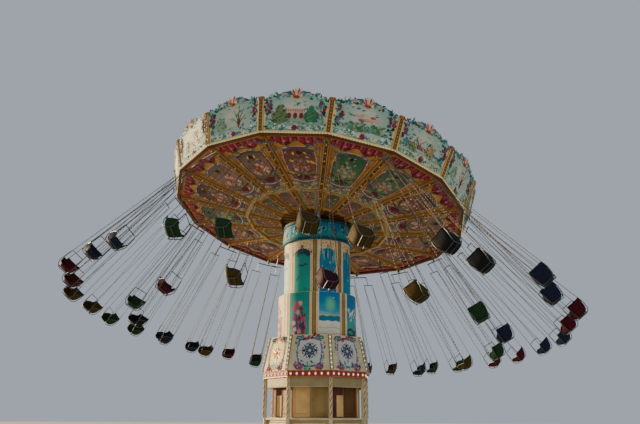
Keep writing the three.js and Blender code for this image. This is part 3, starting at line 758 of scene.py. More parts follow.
def bouquet(on, y, size, paints):
    """Plain vase of flowers and leaves, on a dark cloth, with three garlands under it."""
    rng = on.rng
    on.dome(ellipse(0, y - size * 0.1, size * 0.5, size * 0.34, 14), 0.009, 0.014, paints[5])
    for k in range(11):
        on.leaf(0, y, size * rng.uniform(0.9, 1.5), size * 0.2, pi / 2 + (k - 5) * 0.28, paints[k % 2], 0.009)
    for dx, dy in BLOOMS:
        radius = size * rng.uniform(0.15, 0.24)
        on.flower(dx * size, y + dy * size, radius, rng.choice(paints[2:5]), "sand", low=0.012)
    vase = ((-0.13, -0.42), (0.13, -0.42), (0.27, -0.05), (0.16, 0.1), (-0.16, 0.1), (-0.27, -0.05))
    on.plate([(size * u, y + size * v) for u, v in vase], 0, 0.022, "wine")
    for k, paint in enumerate(("lavender", "purple", "moss")):
        drop = 0.62 + 0.13 * k
        sag = [(size * 0.9 * t, y - size * (drop - 0.3 * t * t)) for t in (j / 4 for j in range(-4, 5))]
        on.ribbon(sag, 0.032, paint, 0.016)


def bay_frame(on, half0, half1, index):
    """Scrolled frame round a bay's painted panel."""
    back = medallion(0.24, 2.2, half0 + 0.06, half1 + 0.06)
    on.plate(back, 0, 0.006, nth("mauve rosewood plum", index))
    on.hoop(back, 0.022, "cream", 0.004, 0.01)
    on.scatter(back, "teal lavender rose moss purple sand", 0.085, 0.01)
    for s in (-1, 1):
        for w, v, r, paint, way in (
                (half0 + 0.05, 0.36, 0.1, "lavender", 1), (half0 * 0.45, 0.2, 0.08, "purple", 1),
                (half1 + 0.04, 2.08, 0.1, "slate", -1), (half1 * 0.6, 2.2, 0.08, "teal", -1)):
            on.scroll(s * w, v, r, pi / 2 * way, 1.2, s * way, 0.034, paint, 0.01, 0.014)
        on.leaf(s * half0 * 0.2, 0.2, 0.16, 0.06, pi / 2 - s * 1.2, "green", 0.01, 0.012)
        on.flower(s * half0 * 0.75, 0.17, 0.05, "rose", "cream", low=0.01)


# Bays with a green panel
GREEN_BAYS = {12: "panel_green", 13: "panel_olive", 3: "panel_green", 7: "panel_olive"}


def outer_bay(piece, index):
    """Painted panel with a bouquet in its scrolled frame, under drapes, on gold with mouldings."""
    on = Brush(piece, ceiling_place(BAYS[index], False), random.Random(100 + index))
    on.plate(trapezium(0.1, 2.74, False), 0, 0.003, "bay_gold")
    for s in (-1, 1):
        for margin, paint, wide in ((0.016, "old_gold", 0.03), (0.062, "sand", 0.014), (0.1, "rust", 0.016),
                                    (0.14, "old_gold", 0.012)):
            on.ribbon([(s * bay_half(v, False, margin), v) for v in (0.14, 2.7)], wide, paint, 0.002, 0.01)
    half0, half1 = bay_half(0.3, False) * 0.62, bay_half(2.1, False) * 0.66
    bay_frame(on, half0, half1, index)
    for s in (-1, 1):
        for k, v in enumerate((0.42, 0.86, 1.3, 1.74, 2.18)):
            edge = (half0 + (half1 - half0) * (v - 0.3) / 1.8 + bay_half(v, False, 0.12)) / 2 + 0.03
            paint = nth("old_gold rust", k)
            on.scroll(s * edge, v, 0.085, 1.57 * s, 1.0, s, 0.034, paint, 0.006, count=8)
            on.leaf(s * edge, v + 0.1, 0.16, 0.06, 1.57 + s * 0.3, "old_gold", 0.006)
    line = medallion(0.32, 2.12, half0, half1)
    on.plate(line, 0, 0.008, GREEN_BAYS.get(index, nth("panel_brown panel_plum panel_rust", index)),
             uv=lambda p: (p[0], p[1] / 2.2))
    on.hoop(line, 0.03, nth("plum purple", index), 0.006, 0.012)
    rng = on.rng
    spots = [(rng.uniform(-0.9, 0.9) * (half0 + (half1 - half0) * v / 2.2), v)
             for v in (rng.uniform(0.42, 2.02) for _ in range(64))]
    leaves, paints = "rosewood mauve tan moss brown plum slate", "rosewood moss mauve rust blush wine"
    if index in GREEN_BAYS:
        leaves, paints = "sage moss green forest olive", "moss forest sage olive mauve forest"
    on.scatter(spots, leaves, 0.14, 0.009)
    bouquet(on, 0.74, 0.5, paints.split())
    on.flower(0, 1.92, 0.1, "dark", "forest", 7, 0.016)
    half = bay_half(2.5, False, 0.14)
    for s in (-1, 1):
        drape(on, s * half / 2, 2.68, half / 2, 0.34)
        on.scroll(s * (half - 0.02), 2.5, 0.11, pi / 2, 1.2, -s, 0.06, "crimson", 0.012, 0.016)
        on.scroll(s * half * 0.4, 2.4, 0.08, -pi / 2, 1.1, s, 0.05, "wine", 0.03, 0.014)
        tassel = [(s * (half + 0.04), 2.24 + 0.06 * k) for k in range(7)]
        on.scatter(tassel, "rust gold wine crimson", 0.1, 0.006)
        on.flower(s * half * 0.5, 2.5, 0.09, "rose", "blush", 6, 0.034)
    on.flower(0, 2.6, 0.1, "wine", "rose", 6, 0.03)
    low = [(bay_half(0.16, False) * x, 0.15) for x in (-0.84, -0.6, -0.36, -0.12, 0.12, 0.36, 0.6, 0.84)]
    on.scatter(low, "jade cream pale", 0.08, 0.006)


def inner_bay(piece, index):
    on = Brush(piece, ceiling_place(BAYS[index], True), random.Random(200 + index))
    on.plate(trapezium(0.02, 1.24, True), 0, 0.003, "bay_gold")
    line = medallion(0.16, 1.08, bay_half(0.2, True) * 0.72, bay_half(1.0, True) * 0.68, 28)
    on.plate(line, 0, 0.007, nth("panel_olive panel_plum panel_brown", index))
    on.hoop(line, 0.035, nth("rose mauve jade", index), 0.004, 0.012)
    on.scatter(on.spots(16, -0.16, 0.16, 0.28, 0.96), "rosewood moss sand plum", 0.12, 0.008)
    on.flower(0, 0.66, 0.1, "crimson", "blush", low=0.012)
    for s in (-1, 1):
        on.ribbon([(s * bay_half(v, True, 0.03), v) for v in (0.04, 1.22)], 0.024, "old_gold", 0.002, 0.01)
    on.scatter([((k - 3) * 0.12, 1.16) for k in range(7)], "teal jade aqua", 0.1, 0.006)


def rib_trim(piece, k):
    """A dark inlay between gold mouldings, and bulbs, along a rib's underside, on both sides of the ring."""
    for r0, r1 in ((RING_R + 0.14, CEILING_R - 0.08), (HOLE_R + 0.03, RING_R - 0.1)):
        low, high = [Vector((r, 0, ceiling_z(r) - RIB_DEPTH)) for r in (r0, r1)]
        length = (high - low).length
        on = Brush(piece, spun(CORNERS[k], low.x, low.z, (high - low).normalized()))
        on.plate(rect(-0.052, 0.052, 0, length), 0, 0.004, "rib_dark")
        for s in (-1, 1):
            on.ribbon([(s * 0.068, 0), (s * 0.068, length)], 0.03, "gold", 0, 0.012)
        steps = int(length / 0.2)
        for j in range(steps):
            y = (j + 0.5) * length / steps
            if min(abs(y + r0 - OUTER_R), abs(y + r0 - INNER_R)) > 0.12:  # clear of the swivels' lugs
                on.dome(lozenge(y, 0.03, 0.04), 0.004, 0.014, "old_gold")
                if j % 2:
                    on.bulb(0, y, 0.008, 0.024, "amber_bulb")


def ring_trim(piece, index):
    """Ring beam between the two rows of panels: teal cartouches on its side, bulbs under it."""
    angle, radius = BAYS[index], RING_R + 0.12
    half = radius * sin(HALF_BAY) - 0.09
    place = spun(angle, radius * FLAT, ceiling_z(radius) - RIB_DEPTH, (0, 0, 1))
    on = Brush(piece, place, random.Random(300 + index))
    on.plate(rect(-half, half, 0.004, 0.094), 0, 0.006, "cream")
    for k in range(3):
        on.plate(ellipse((k - 1) * 0.28, 0.048, 0.12, 0.034), 0, 0.01, "jade")
        on.scatter([((k - 1) * 0.28 + 0.05 * j, 0.048) for j in (-1, 0, 1)], "teal white", 0.05, 0.008)
    under = Brush(piece, spun(angle, RING_R * FLAT, ceiling_z(RING_R) - RIB_DEPTH, (1, 0, 0)))
    half = RING_R * sin(HALF_BAY)
    under.plate(rect(-half, half, 0.01, 0.1), 0, 0.004, "gold")
    for k in range(6):
        u = (k - 2.5) * 2 * half / 6
        under.plate(ellipse(u, 0.055, 0.06, 0.03, 10), 0, 0.008, nth("old_gold jade", k))
        under.bulb(u, 0.055, 0.006, 0.018, "amber_bulb")


def hole_lining():
    """Gold bars on the dish and the upright ring round the tower's head, over a brown lining that is painted
    shade.
    """
    piece = Piece("hole_lining")
    dish, hub = RIM_Z - DISH_DROP - 0.003, 0.54
    profile = [(HOLE_R - 0.003, RIM_Z - HOLE_DROP + 0.002), (HOLE_R - 0.003, dish), (hub, dish)]
    # the brown lining darkens the dish round the tower's head as painted shade
    Brush(piece, CANOPY).turned(profile, RIBS, "brown", RIB_PHASE)
    for i in range(2 * RIBS):
        angle = RIB_PHASE + i * HALF_BAY
        reach = HOLE_R * (FLAT if i % 2 else 1) - 0.004
        paint, half = ("bay_gold", 0.09) if i % 2 else ("rib", 0.07)
        run = reach - hub - 0.02
        bar = [(-half, 0), (half, 0), (half * 0.4, run), (-half * 0.4, run)]
        Brush(piece, spun(angle, reach, dish, (-1, 0, 0), -1)).plate(bar, 0, 0.012, paint)
        upright = spun(angle, reach, RIM_Z - HOLE_DROP + 0.004, (0, 0, 1), -1)
        Brush(piece, upright).plate(rect(-half, half, 0, 0.27), 0, 0.01, paint)
    piece.done("canopy", slot="ceiling")


def ceiling():
    by_quarters("painted_ceiling", (), "ceiling", outer_bay, inner_bay, rib_trim, ring_trim)
    hole_lining()


# Tower

SLIDING_RELIEF = 0.45  # keeps the paint on the columns clear of the holes they slide through


class Round:
    """Place on a column: x runs round it, y up it and z out of it, scaled by relief. It narrows by taper."""

    def __init__(self, radius, angle, z, taper=0, relief=1.0):
        self.radius, self.angle, self.z, self.taper, self.relief = radius, angle, z, taper, relief

    def __matmul__(self, p):
        r = self.radius - self.taper * p.y + p.z * self.relief
        a = self.angle + p.x / self.radius
        return Vector((r * cos(a), r * sin(a), self.z + p.y))


def on_column(piece, radius, turn, z, rng=None):
    """Brush on a column's pilaster k where turn is k, or on the panel after it where turn is k + 0.5."""
    return Brush(piece, Round(radius, PILASTER_PHASE + 2 * turn * HALF_SIDE, z, relief=SLIDING_RELIEF), rng)


def panel_half(radius):
    return radius * HALF_SIDE - PILASTER_W / 2


def wave(level, swell, rate, shift=0):
    return lambda t: level + swell * sin(rate * t + shift)


LOWER_SCENES = "beach sea teal beach teal sea dune teal".split()
UPPER_SCENES = "deep_sea deep_sea teal deep_sea teal deep_sea mint teal".split()


def column_dress(piece, radius, span, scenes):
    """Eight painted panels between cream pilasters with studded gold centres, each centre with a painted
    highlight line down its middle.
    """
    h, w = span[1] - span[0], PILASTER_W / 2
    for k, scene in enumerate(scenes):
        on = on_column(piece, radius, k, span[0])
        on.band(-w, w, 0, h, 0.004, "cream", 4)
        # the narrow gold line down the middle of the olive-gold strip is a painted highlight
        for x, half, lift, paint in ((-w + 0.01, 0.01, 0.007, "blush"), (w - 0.01, 0.01, 0.007, "white"),
                                     (0, 0.068, 0.005, "olive_gold"), (-0.06, 0.008, 0.007, "brown"),
                                     (0.06, 0.008, 0.007, "brown"), (0, 0.014, 0.007, "gold")):
            on.band(x - half, x + half, 0, h, lift, paint, 4 if half > 0.05 else 1)
        for j in range(int(h / 0.085)):
            for x in (-0.112, 0.112):
                stud = ellipse(x, 0.04 + j * 0.085, 0.015, 0.015, 6)
                on.dome(stud, 0.003, 0.0085, nth("orange rust", j))
        half = panel_half(radius)
        on_column(piece, radius, k + 0.5, span[0]).band(
            -half, half, 0, h, 0.002, "panel_" + scene, 14, uv=lambda p: (p[0], p[1] / h))


def arch_head(piece, radius, high):
    """Cream arch over each panel, with drops along its edge and a blossom."""
    half = panel_half(radius)
    for k in range(8):
        on = on_column(piece, radius, k + 0.5, high)
        on.band(-half, half, lambda t: -0.44 + 0.13 * sin(pi * t) - 0.018 * cos(12 * pi * t), 0,
                0.006, "cream", 24)
        for j in range(7):
            on.leaf(0, -0.24, 0.085, 0.06, j * 0.9, nth("orange crimson", k), 0.0055, 0.002)
        for s in (-1, 1):
            on.leaf(s * 0.06, -0.25, 0.17, 0.06, pi / 2 - s * 1.5, "moss", 0.0055, 0.002)
            for x, y, paint in ((0.27, -0.36, "rust"), (0.3, -0.2, "orange"), (0.2, -0.14, "crimson"),
                                (0.08, -0.12, "rust")):
                on.dome(ellipse(s * x, y, 0.03, 0.03, 6), 0.0055, 0.0085, paint)


# Coral on the columns: place, size and paint
CORAL = ((-0.1, 1.05, 0.16, "rose"), (0.06, 1.1, 0.11, "blush"), (-0.17, 0.88, 0.12, "rose"),
         (0.1, 0.9, 0.1, "crimson"), (-0.04, 0.78, 0.11, "blush"), (-0.14, 0.62, 0.12, "purple"),
         (0.02, 0.56, 0.12, "crimson"), (0.17, 0.52, 0.11, "rose"), (0.22, 0.66, 0.07, "crimson"),
         (-0.2, 0.4, 0.11, "lavender"), (-0.06, 0.34, 0.11, "purple"), (0.1, 0.3, 0.11, "plum"),
         (0.2, 0.22, 0.1, "deep_teal"), (-0.15, 0.18, 0.11, "lavender"), (0.02, 0.1, 0.12, "blush"),
         (-0.2, 0.04, 0.09, "blush"), (0.17, 0.06, 0.09, "rust"))


def coral(on):
    """Pink coral and water flowers that fill a panel's lower half."""
    for k in range(7):
        x = (k - 3) * 0.07
        stem = [(x, 0), (x * 1.3, 0.3 + 0.05 * (k % 3)), (x * 1.1 - 0.04, 0.7 + 0.12 * (k % 3))]
        on.ribbon(stem, taper(0.08, 0.03), nth("rose purple plum", k), 0.001, 0.004)
    for x, y, r, paint in CORAL:
        for j in range(8):
            on.leaf(x, y, r, r * 0.5, j * pi / 4 + y, paint, 0.001 + 0.001 * (j % 2), 0.005)
        on.dome(ellipse(x, y, r * 0.45, r * 0.45, 8), 0.003, 0.007, paint)
    on.scatter(on.spots(30, -0.26, 0.26, 0, 1.0), "deep_teal jade plum", 0.09, -0.002)


def beach(on, half):
    """Horizon and surf."""
    on.plate(ellipse(0.14, 1.4, 0.035, 0.03, 10), -0.002, 0.004, "aqua")
    on.band(-half, half, 0.78, 0.795, 0.004, "aqua")
    on.band(-half, half, 0.7, lambda t: 0.73 + 0.03 * sin(9 * t) ** 2, 0.005, "green", 16)
    on.band(-half, half, 0.56, 0.7, 0.004, "sea")
    on.band(-half, half, wave(0.48, 0.02, 11), wave(0.56, 0.025, 17, 1), 0.006, "white", 18)
    for y in (0.32, 0.2, 0.1):
        on.band(-half, half, wave(y, 0.02, 8, 9 * y), wave(y + 0.022, 0.02, 8, 9 * y), 0.005,
                "white" if y == 0.2 else "sand", 16)


def surf(on, half):
    """White spray over dark water."""
    spots = [(x * 0.9, y) for x, y in on.spots(26, -half, half, 0.5, 1.0)]
    on.scatter(spots, "white aqua white", 0.16, 0, 1.2)
    for y in (0.1, 0.26, 0.42):
        on.band(-half, half, wave(y, 0.04, 9, y * 20), wave(y + 0.09, 0.04, 9, y * 20), 0.004,
                "deep_teal" if y < 0.4 else "jade", 14)


def cascade(on, half, high):
    """Falling water and leaves from under the arch, over a darker deep."""
    rng = on.rng
    for k in range(26):
        length, way = rng.uniform(0.2, 0.6), -pi / 2 + rng.uniform(-0.12, 0.12)
        paint = rng.choice("aqua sea sea jade navy".split())
        on.leaf(-half * 0.92 + 1.84 * half * k / 25, high - 0.36, length, 0.05, way, paint, 0, 0.006)
    spots = [(x * 0.85, y) for x, y in on.spots(16, -half, half, 0.5, high - 0.9)]
    on.scatter(spots, "sea slate aqua", 0.14, 0)


def gulls(on, half, high):
    """Dark birds, one near and the others far off, under a fringe of leaves."""
    for across, up, size, lean in ((0.1, 0.66, 0.21, 0.1), (-0.5, 0.5, 0.12, 0.9), (0.45, 0.36, 0.08, -0.4)):
        x, y = across * half, up * high
        c, s = cos(lean) * size, sin(lean) * size
        span = ((-1, 0.05), (-0.5, 0.3), (0, 0), (0.5, 0.3), (1, 0.05))
        wings = [(x + u * c - v * s, y + u * s + v * c) for u, v in span]
        on.ribbon(wings, lambda t: size * (0.1 + 0.22 * sin(pi * t)), "navy", 0.003, 0.005)
    fringe = [(half * (k - 11) / 12, high - 0.4 + 0.12 * cos((k - 11) / 8)) for k in range(23)]
    on.scatter(fringe, "deep_teal navy teal", 0.26, 0, -1.57, 0.004)


def tower():
    """Both columns' panels, and on each panel its scene."""
    rng = random.Random(7)
    lower, upper = Piece("lower_column_panels"), Piece("upper_column_panels")
    column_dress(lower, LOWER_R, LOWER_Z, LOWER_SCENES)
    column_dress(upper, UPPER_R, UPPER_Z, UPPER_SCENES)
    arch_head(upper, UPPER_R, UPPER_Z[1])
    over = 0.001  # the scenes lie over the panels
    height = UPPER_Z[1] - UPPER_Z[0]
    for k, (below, above) in enumerate(zip(LOWER_SCENES, UPPER_SCENES)):
        on = on_column(lower, LOWER_R + over, k + 0.5, LOWER_Z[0], rng)
        if below == "beach":
            beach(on, panel_half(LOWER_R))
        elif below == "sea":
            surf(on, panel_half(LOWER_R))
        else:
            coral(on_column(lower, LOWER_R + over, k + 0.5, LOWER_Z[0] + 0.1, rng))
        on = on_column(upper, UPPER_R + over, k + 0.5, UPPER_Z[0], rng)
        (cascade if above == "deep_sea" else gulls)(on, panel_half(UPPER_R), height)
    lower.done("lower_tower", slot="painted_scene")
    upper.done("upper_tower", slot="painted_scene")


def collar():
    """Blue and teal panels with a pale line between them, between two rolled rims."""
    piece = Piece("collar_panels")
    rng = random.Random(9)
    low, height = COLLAR_Z[0], COLLAR_Z[1] - COLLAR_Z[0]
    narrowing = (COLLAR_R - COLLAR_TOP_R) / height
    width = (COLLAR_R - 0.03) * HALF_SIDE
    bands = 0.58  # height of all the colour bands
    for k in range(16):
        angle = PILASTER_PHASE + k * HALF_SIDE
        on = Brush(piece, Round(COLLAR_R + 0.001, angle, low, narrowing))
        on.band(0.012, width, 0.02, height - 0.02, 0.005, "panel_collar", 4,
                uv=lambda p: (p[0], p[1] / bands))
        on.band(-0.012, 0.012, 0, height, 0.012, "jade", 1)
        on = Brush(piece, Round(COLLAR_R + 0.006, angle + 0.5 * HALF_SIDE, low, narrowing), rng)
        if k % 4 == 3:
            for j in range(5):
                on.leaf(0, 0.16, 0.2, 0.07, pi / 2 + (j - 2) * 0.45, nth("blush rust", j), 0, 0.01)
            on.plate(ellipse(0, 0.13, 0.14, 0.05, 14), 0, 0.008, "white")
        elif k % 4 == 1:
            on.plate(ellipse(0, 0.22, 0.08, 0.13, 14), 0, 0.006, "plum")
            on.flower(0, 0.22, 0.08, "crimson", "blush", 6, 0.002)
        else:
            spots = on.spots(18, -0.18, 0.18, 0.08, 0.4)
            on.scatter(spots, "sea jade deep_teal aqua navy mist", 0.16, 0, 1.2)
    for rim in ([(1.3535, 7.995), (1.368, 7.985), (1.368, 7.925), (1.345, 7.906)],
                [(1.30, 8.698), (1.318, 8.69), (1.322, 8.6), (1.30, 8.578)]):
        Brush(piece, WORLD).turned(rim, 48, "deep_teal")
    piece.done("upper_tower", slot="blue")


# Pavilion

def base_place(turn, foot, top):
    """On the base's corner k where turn is k, or on the side after it where turn is k + 0.5.

    foot and top are the surface's ends, each the radius at the corners and the height.
    """
    flat = cos(HALF_SIDE) if turn % 1 else 1.0
    low, high = (Vector((r * flat, 0, z)) for r, z in (foot, top))
    return Matrix.Rotation(BASE_PHASE + 2 * turn * HALF_SIDE, 4, "Z") @ facing(low, (high - low).normalized())


def cartouche(on, height, sunny):
    """Pale field in a scrolled border, with a floral medallion or a big yellow flower."""
    mid = height * 0.5
    outline = [(0.46 * x * lobes, mid + 0.53 * y * lobes) for x, y, lobes in rounded(40, 0.5, 0.04)]
    inner = [(x * 0.86, mid + (y - mid) * 0.86) for x, y in outline]
    on.plate(outline, 0, 0.008, "cream" if sunny else "mauve")
    on.plate(inner, 0, 0.01, "pale" if sunny else "lavender")
    on.hoop(outline, 0.04, "orange" if sunny else "lavender", 0.006, 0.014)
    on.hoop(inner, 0.02, "gold" if sunny else "slate", 0.009, 0.006)
    rng = on.rng
    for s in (-1, 1):
        for u, v, r, paint in ((0.4, 0.12, 0.13, "purple"), (0.3, 0.08, 0.08, "rose"),
                               (0.4, height - 0.13, 0.1, "teal"), (0.28, height - 0.09, 0.07, "slate")):
            way = 1 if v < mid else -1
            on.scroll(s * u, v, r, way * pi / 2, 1.3, s * way, 0.05, paint, 0.01, 0.018)
        edge = [(s * rng.uniform(0.4, 0.48), 0.16 + 0.032 * k) for k in range(28)]
        on.scatter(edge, "lavender slate mauve mist", 0.12, 0.01, pi / 2)
        corner = [(s * x, y) for x, y in on.spots(12, 0.28, 0.5, 0.05, 0.24)]
        on.scatter(corner, "purple rose mauve plum", 0.09, 0.012)
    foot = [((k - 7) * 0.03, rng.uniform(0.07, 0.3)) for k in range(15)]
    on.scatter(foot, "teal jade aqua slate", 0.15, 0.012)
    head = [((k - 7) * 0.034, height - rng.uniform(0.05, 0.14)) for k in range(15)]
    on.scatter(head, "crimson rose wine", 0.13, 0.012)
    if sunny:
        for k in range(12):
            length, paint = (0.32, "gold") if k % 2 else (0.26, "orange")
            on.leaf(0, mid, length, 0.1, k * pi / 6, paint, 0.01, 0.014)
        on.dome(ellipse(0, mid, 0.08, 0.08, 14), 0.02, 0.04, "rust")
        return
    mid += 0.05
    for j in range(8):
        a, hand = j * pi / 4 + pi / 8, (-1) ** j
        x, y = 0.23 * cos(a), mid + 0.22 * sin(a)
        on.scroll(x, y, 0.085, a + pi / 2 * hand, 1.1, hand, 0.028, "navy", 0.01, count=12)
        for way, reach, paint in ((0, 0.13, "navy"), (pi / 8, 0.22, "slate"), (-pi / 8, 0.28, "navy")):
            on.leaf(0.04 * cos(a + way), mid + 0.04 * sin(a + way), reach, 0.05, a + way, paint, 0.012, 0.01)
    on.dome(ellipse(0, mid, 0.045, 0.045, 10), 0.018, 0.03, "lavender")


def twisted_post(piece, k):
    """Turned pole in front of a corner post with a spiral stripe."""
    a = BASE_PHASE + 2 * k * HALF_SIDE
    reach, radius, steps, sides = POST_R + 0.046, 0.032, 44, 10
    points = [(reach * cos(a) + radius * c, reach * sin(a) + radius * s,
               SILL_Z + 0.002 + (POST_TOP_Z - SILL_Z) * i / steps)
              for i in range(steps + 1) for c, s in circle(sides, 0.42 * i)]
    for paint, kept in (("pale", (0, 1, 2, 5, 6, 7)), ("rose", (3, 4, 8, 9))):
        faces = [[i + j, i + (j + 1) % sides, i + sides + (j + 1) % sides, i + sides + j]
                 for i in range(0, steps * sides, sides) for j in kept]
        piece.add(WORLD, points, faces, paint)


def crest_face(piece, k):
    """One painted side of the cresting and the studded rib at its corner."""
    height, studs = 1.235, 1.23
    foot, top = CREST_R * sin(HALF_SIDE) - 0.07, CREST_TOP_R * sin(HALF_SIDE) - 0.07
    place = base_place(k + 0.5, (CREST_R, CREST_Z[0]), (CREST_TOP_R, CREST_Z[1]))
    on = Brush(piece, place, random.Random(400 + k))
    outline = [(-foot, 0.05), (foot, 0.05), (top, height - 0.05), (-top, height - 0.05)]
    on.plate(outline, 0, 0.004, "cream" if k == 4 else "stone")
    on.hoop(outline, 0.02, "pale", 0.002, 0.01)
    cartouche(on, height, k in (0, 4))
    edge = Brush(piece, base_place(k, (CREST_R, CREST_Z[0] + 0.004), (CREST_TOP_R, CREST_Z[1] - 0.005)))
    edge.slab(rect(-0.05, 0.05, 0, studs), -0.03, 0.014, "stone")
    for s in (-1, 1):
        edge.ribbon([(s * 0.046, 0), (s * 0.046, studs)], 0.022, "dark", 0.012, 0.008)
    for j in range(8):
        edge.bulb(0, 0.09 + j * 0.15, 0.014, 0.026, "white_bulb")
    edge.slab(rect(-0.06, 0.06, 1.2, height), -0.04, 0.026, "gold")


def band_face(piece, k):
    """Red band with a row of bulbs in pale sockets, over the olive fascia."""
    on = Brush(piece, base_place(k + 0.5, (BAND_R, BAND_Z[0]), (BAND_R, BAND_Z[1])))
    half = BAND_R * sin(HALF_SIDE)
    for y0, y1 in ((0.008, 0.026), (0.2, 0.22)):
        on.plate(rect(-half, half, y0, y1), 0, 0.012, "gold")
    for j in range(7):
        u = (j - 3) * 2 * half / 7
        on.plate(ellipse(u, 0.113, 0.042, 0.066), 0, 0.006, "blush")
        on.bulb(u, 0.113, 0.006, 0.034, "white_bulb")
    on = Brush(piece, base_place(k + 0.5, (POST_R, FASCIA_Z), (POST_R, BAND_Z[0])))
    half = POST_R * sin(HALF_SIDE) - 0.06
    on.plate(rect(-half, half, 0.02, 0.3), 0, 0.006, "olive")
    for y in (0.02, 0.3):
        on.ribbon([(-half, y), (half, y)], 0.02, "sand", 0.004, 0.008)


def core_face(piece, k):
    """Boards, and a door with a handle or a light panel, on the machine room's walls."""
    on = Brush(piece, base_place(k + 0.5, (CORE_R, CORE_Z[0]), (CORE_R, CORE_Z[1])))
    half, height = CORE_R * sin(HALF_SIDE), 1.24
    left, right = ("tan", "olive_tan") if k % 2 else ("rosewood", "brown")
    on.plate(rect(-half + 0.02, -0.01, 0, height), 0, 0.012, left)
    on.plate(rect(0.01, half - 0.02, 0, height), 0, 0.012, right)
    for x in (-half + 0.05, -0.03, 0.03, half - 0.05):
        on.ribbon([(x, 0), (x, height)], 0.022, nth("old_gold sand", k), 0.01, 0.008)
    for x0, x1 in ((-half + 0.1, -0.08), (0.08, half - 0.1)):
        on.hoop(rect(x0, x1, 0.12, 1.08), 0.018, nth("dark olive", k), 0.01, 0.007)
    if k % 2 == 0:
        on.plate(rect(-0.3, 0, 0.02, 0.72), 0, 0.03, "tan")
        on.hoop(rect(-0.3, 0, 0.02, 0.72), 0.022, "old_gold", 0.026, 0.01)
    else:
        on.tube([(0.1, 0.5, 0.012), (0.1, 0.5, 0.04), (0.1, 0.62, 0.04), (0.1, 0.62, 0.012)], 0.008, "tube")


def skirt_face(piece, k):
    """Framed panel with a low scroll on the wall under the counter. The doorway's side has none."""
    half = WALL_R * sin(HALF_SIDE) - 0.1
    on = Brush(piece, base_place(k + 0.5, (WALL_R, WALL_Z[0]), (WALL_R, WALL_Z[1])))
    for x0, x1 in [(-half, -0.36), (0.36, half)] if k == 1 else [(-half, half)]:
        outline = rect(x0 + 0.03, x1 - 0.03, 0.12, 1.0)
        on.plate(outline, 0, 0.008, "stone")
        on.hoop(outline, 0.03, "gold", 0.004, 0.012)
        if x1 - x0 > 1:
            for s in (-1, 1):
                on.scroll(s * 0.24, 0.56, 0.18, s * 0.3, 1.4, s, 0.045, "red", 0.008, 0.012)
                on.leaf(s * 0.42, 0.56, 0.14, 0.06, 0 if s > 0 else pi, "gold", 0.008, 0.012)
            on.flower(0, 0.56, 0.1, "gold", "red", 8, 0.008)


def pavilion():
    piece = Piece("pavilion_ornament")
    for k in range(BASE_SIDES):
        for dress in (crest_face, band_face, core_face, skirt_face, twisted_post):
            dress(piece, k)
    piece.done("base", slot="cream")


# Roof

def roof():
    """Standing seams and a capped middle over the roof sheets."""
    piece = Piece("roof_seams")
    edge_r, top_r = RIM_R - 0.07, 0.52
    low = Vector((edge_r * FLAT, 0, ROOF_EDGE_Z))
    v = Vector((top_r * FLAT, 0, ROOF_TOP_Z)) - low
    length = v.length
    v = v.normalized()
    half = edge_r * sin(HALF_BAY)
    narrowing = 0.908  # share of its width that a sheet loses up to the cap
    for angle in BAYS:
        place = CANOPY @ Matrix.Rotation(angle, 4, "Z") @ axes((0, -1, 0), v, (v.z, 0, -v.x), low)
        on = Brush(piece, place)
        for share in (-1.0, -0.5, 0, 0.5):
            path = [(half * share * (1 - narrowing * t), length * t) for t in (0, 0.5, 1.0)]
            on.ribbon(path, 0.05 if share == -1.0 else 0.03, "roof_sheet", 0, 0.024)
        for t in (0.33, 0.66):
            w = half * (1 - narrowing * t)
            on.ribbon([(-w, length * t), (w, length * t)], 0.03, "roof_sheet", 0, 0.012)
    cap = [(0.6, 0.885), (0.56, 0.93), (0.2, 0.96), (0.001, 0.965)]
    Brush(piece, CANOPY).turned([(r, RIM_Z + z) for r, z in cap], 32, "steel")
    piece.done("canopy", slot="roof_sheet")


# Swings

# Bucket's sections from front to back: the middle of the floor, the edge of the arm, and half the width
BUCKET = (((0.235, 0.02), (0.225, 0.12), 0.2), ((0.17, -0.012), (0.165, 0.2), 0.228),
          ((0.06, -0.03), (0.07, 0.245), 0.238), ((-0.05, -0.036), (-0.03, 0.258), 0.242),
          ((-0.14, -0.025), (-0.12, 0.265), 0.244), ((-0.2, 0.02), (-0.18, 0.29), 0.244),
          ((-0.238, 0.11), (-0.225, 0.325), 0.24), ((-0.262, 0.21), (-0.25, 0.36), 0.232),
          ((-0.28, 0.31), (-0.268, 0.39), 0.22), ((-0.292, 0.4), (-0.284, 0.415), 0.2))


def loft_seat(on):
    """Moulded bucket: a floor that curves up into arms and a back, with a rolled rubber edge."""
    across = 12
    grid = []
    for (yc, zc), (ye, ze), w in BUCKET:
        row = []
        for a in ((i / across * 2 - 1) * pi / 2 for i in range(across + 1)):
            lift = (1 - cos(a)) ** 1.5
            row.append((w * copysign(abs(sin(a)) ** 0.85, a), yc + (ye - yc) * lift, zc + (ze - zc) * lift))
        grid.append(row)
    bm = bmesh.new()
    verts = [[bm.verts.new(p) for p in row] for row in grid]
    for low, high in zip(verts, verts[1:]):
        for j in range(across):
            bm.faces.new((low[j], low[j + 1], high[j + 1], high[j]))
    bmesh.ops.recalc_face_normals(bm, faces=bm.faces)
    bmesh.ops.solidify(bm, geom=bm.faces[:], thickness=0.012)
    points = sorted(v.co[:] for v in bm.verts)  # the order that solidify leaves changes from run to run
    number = {p: i for i, p in enumerate(points)}
    on.add(points, sorted([number[v.co[:]] for v in f.verts] for f in bm.faces), "seat")
    bm.free()
    rim = grid[0] + [row[-1] for row in grid[1:]] + grid[-1][::-1][1:] + [row[0] for row in grid[::-1][1:-1]]
    on.tube(rim, 0.011, "rubber", closed=True)


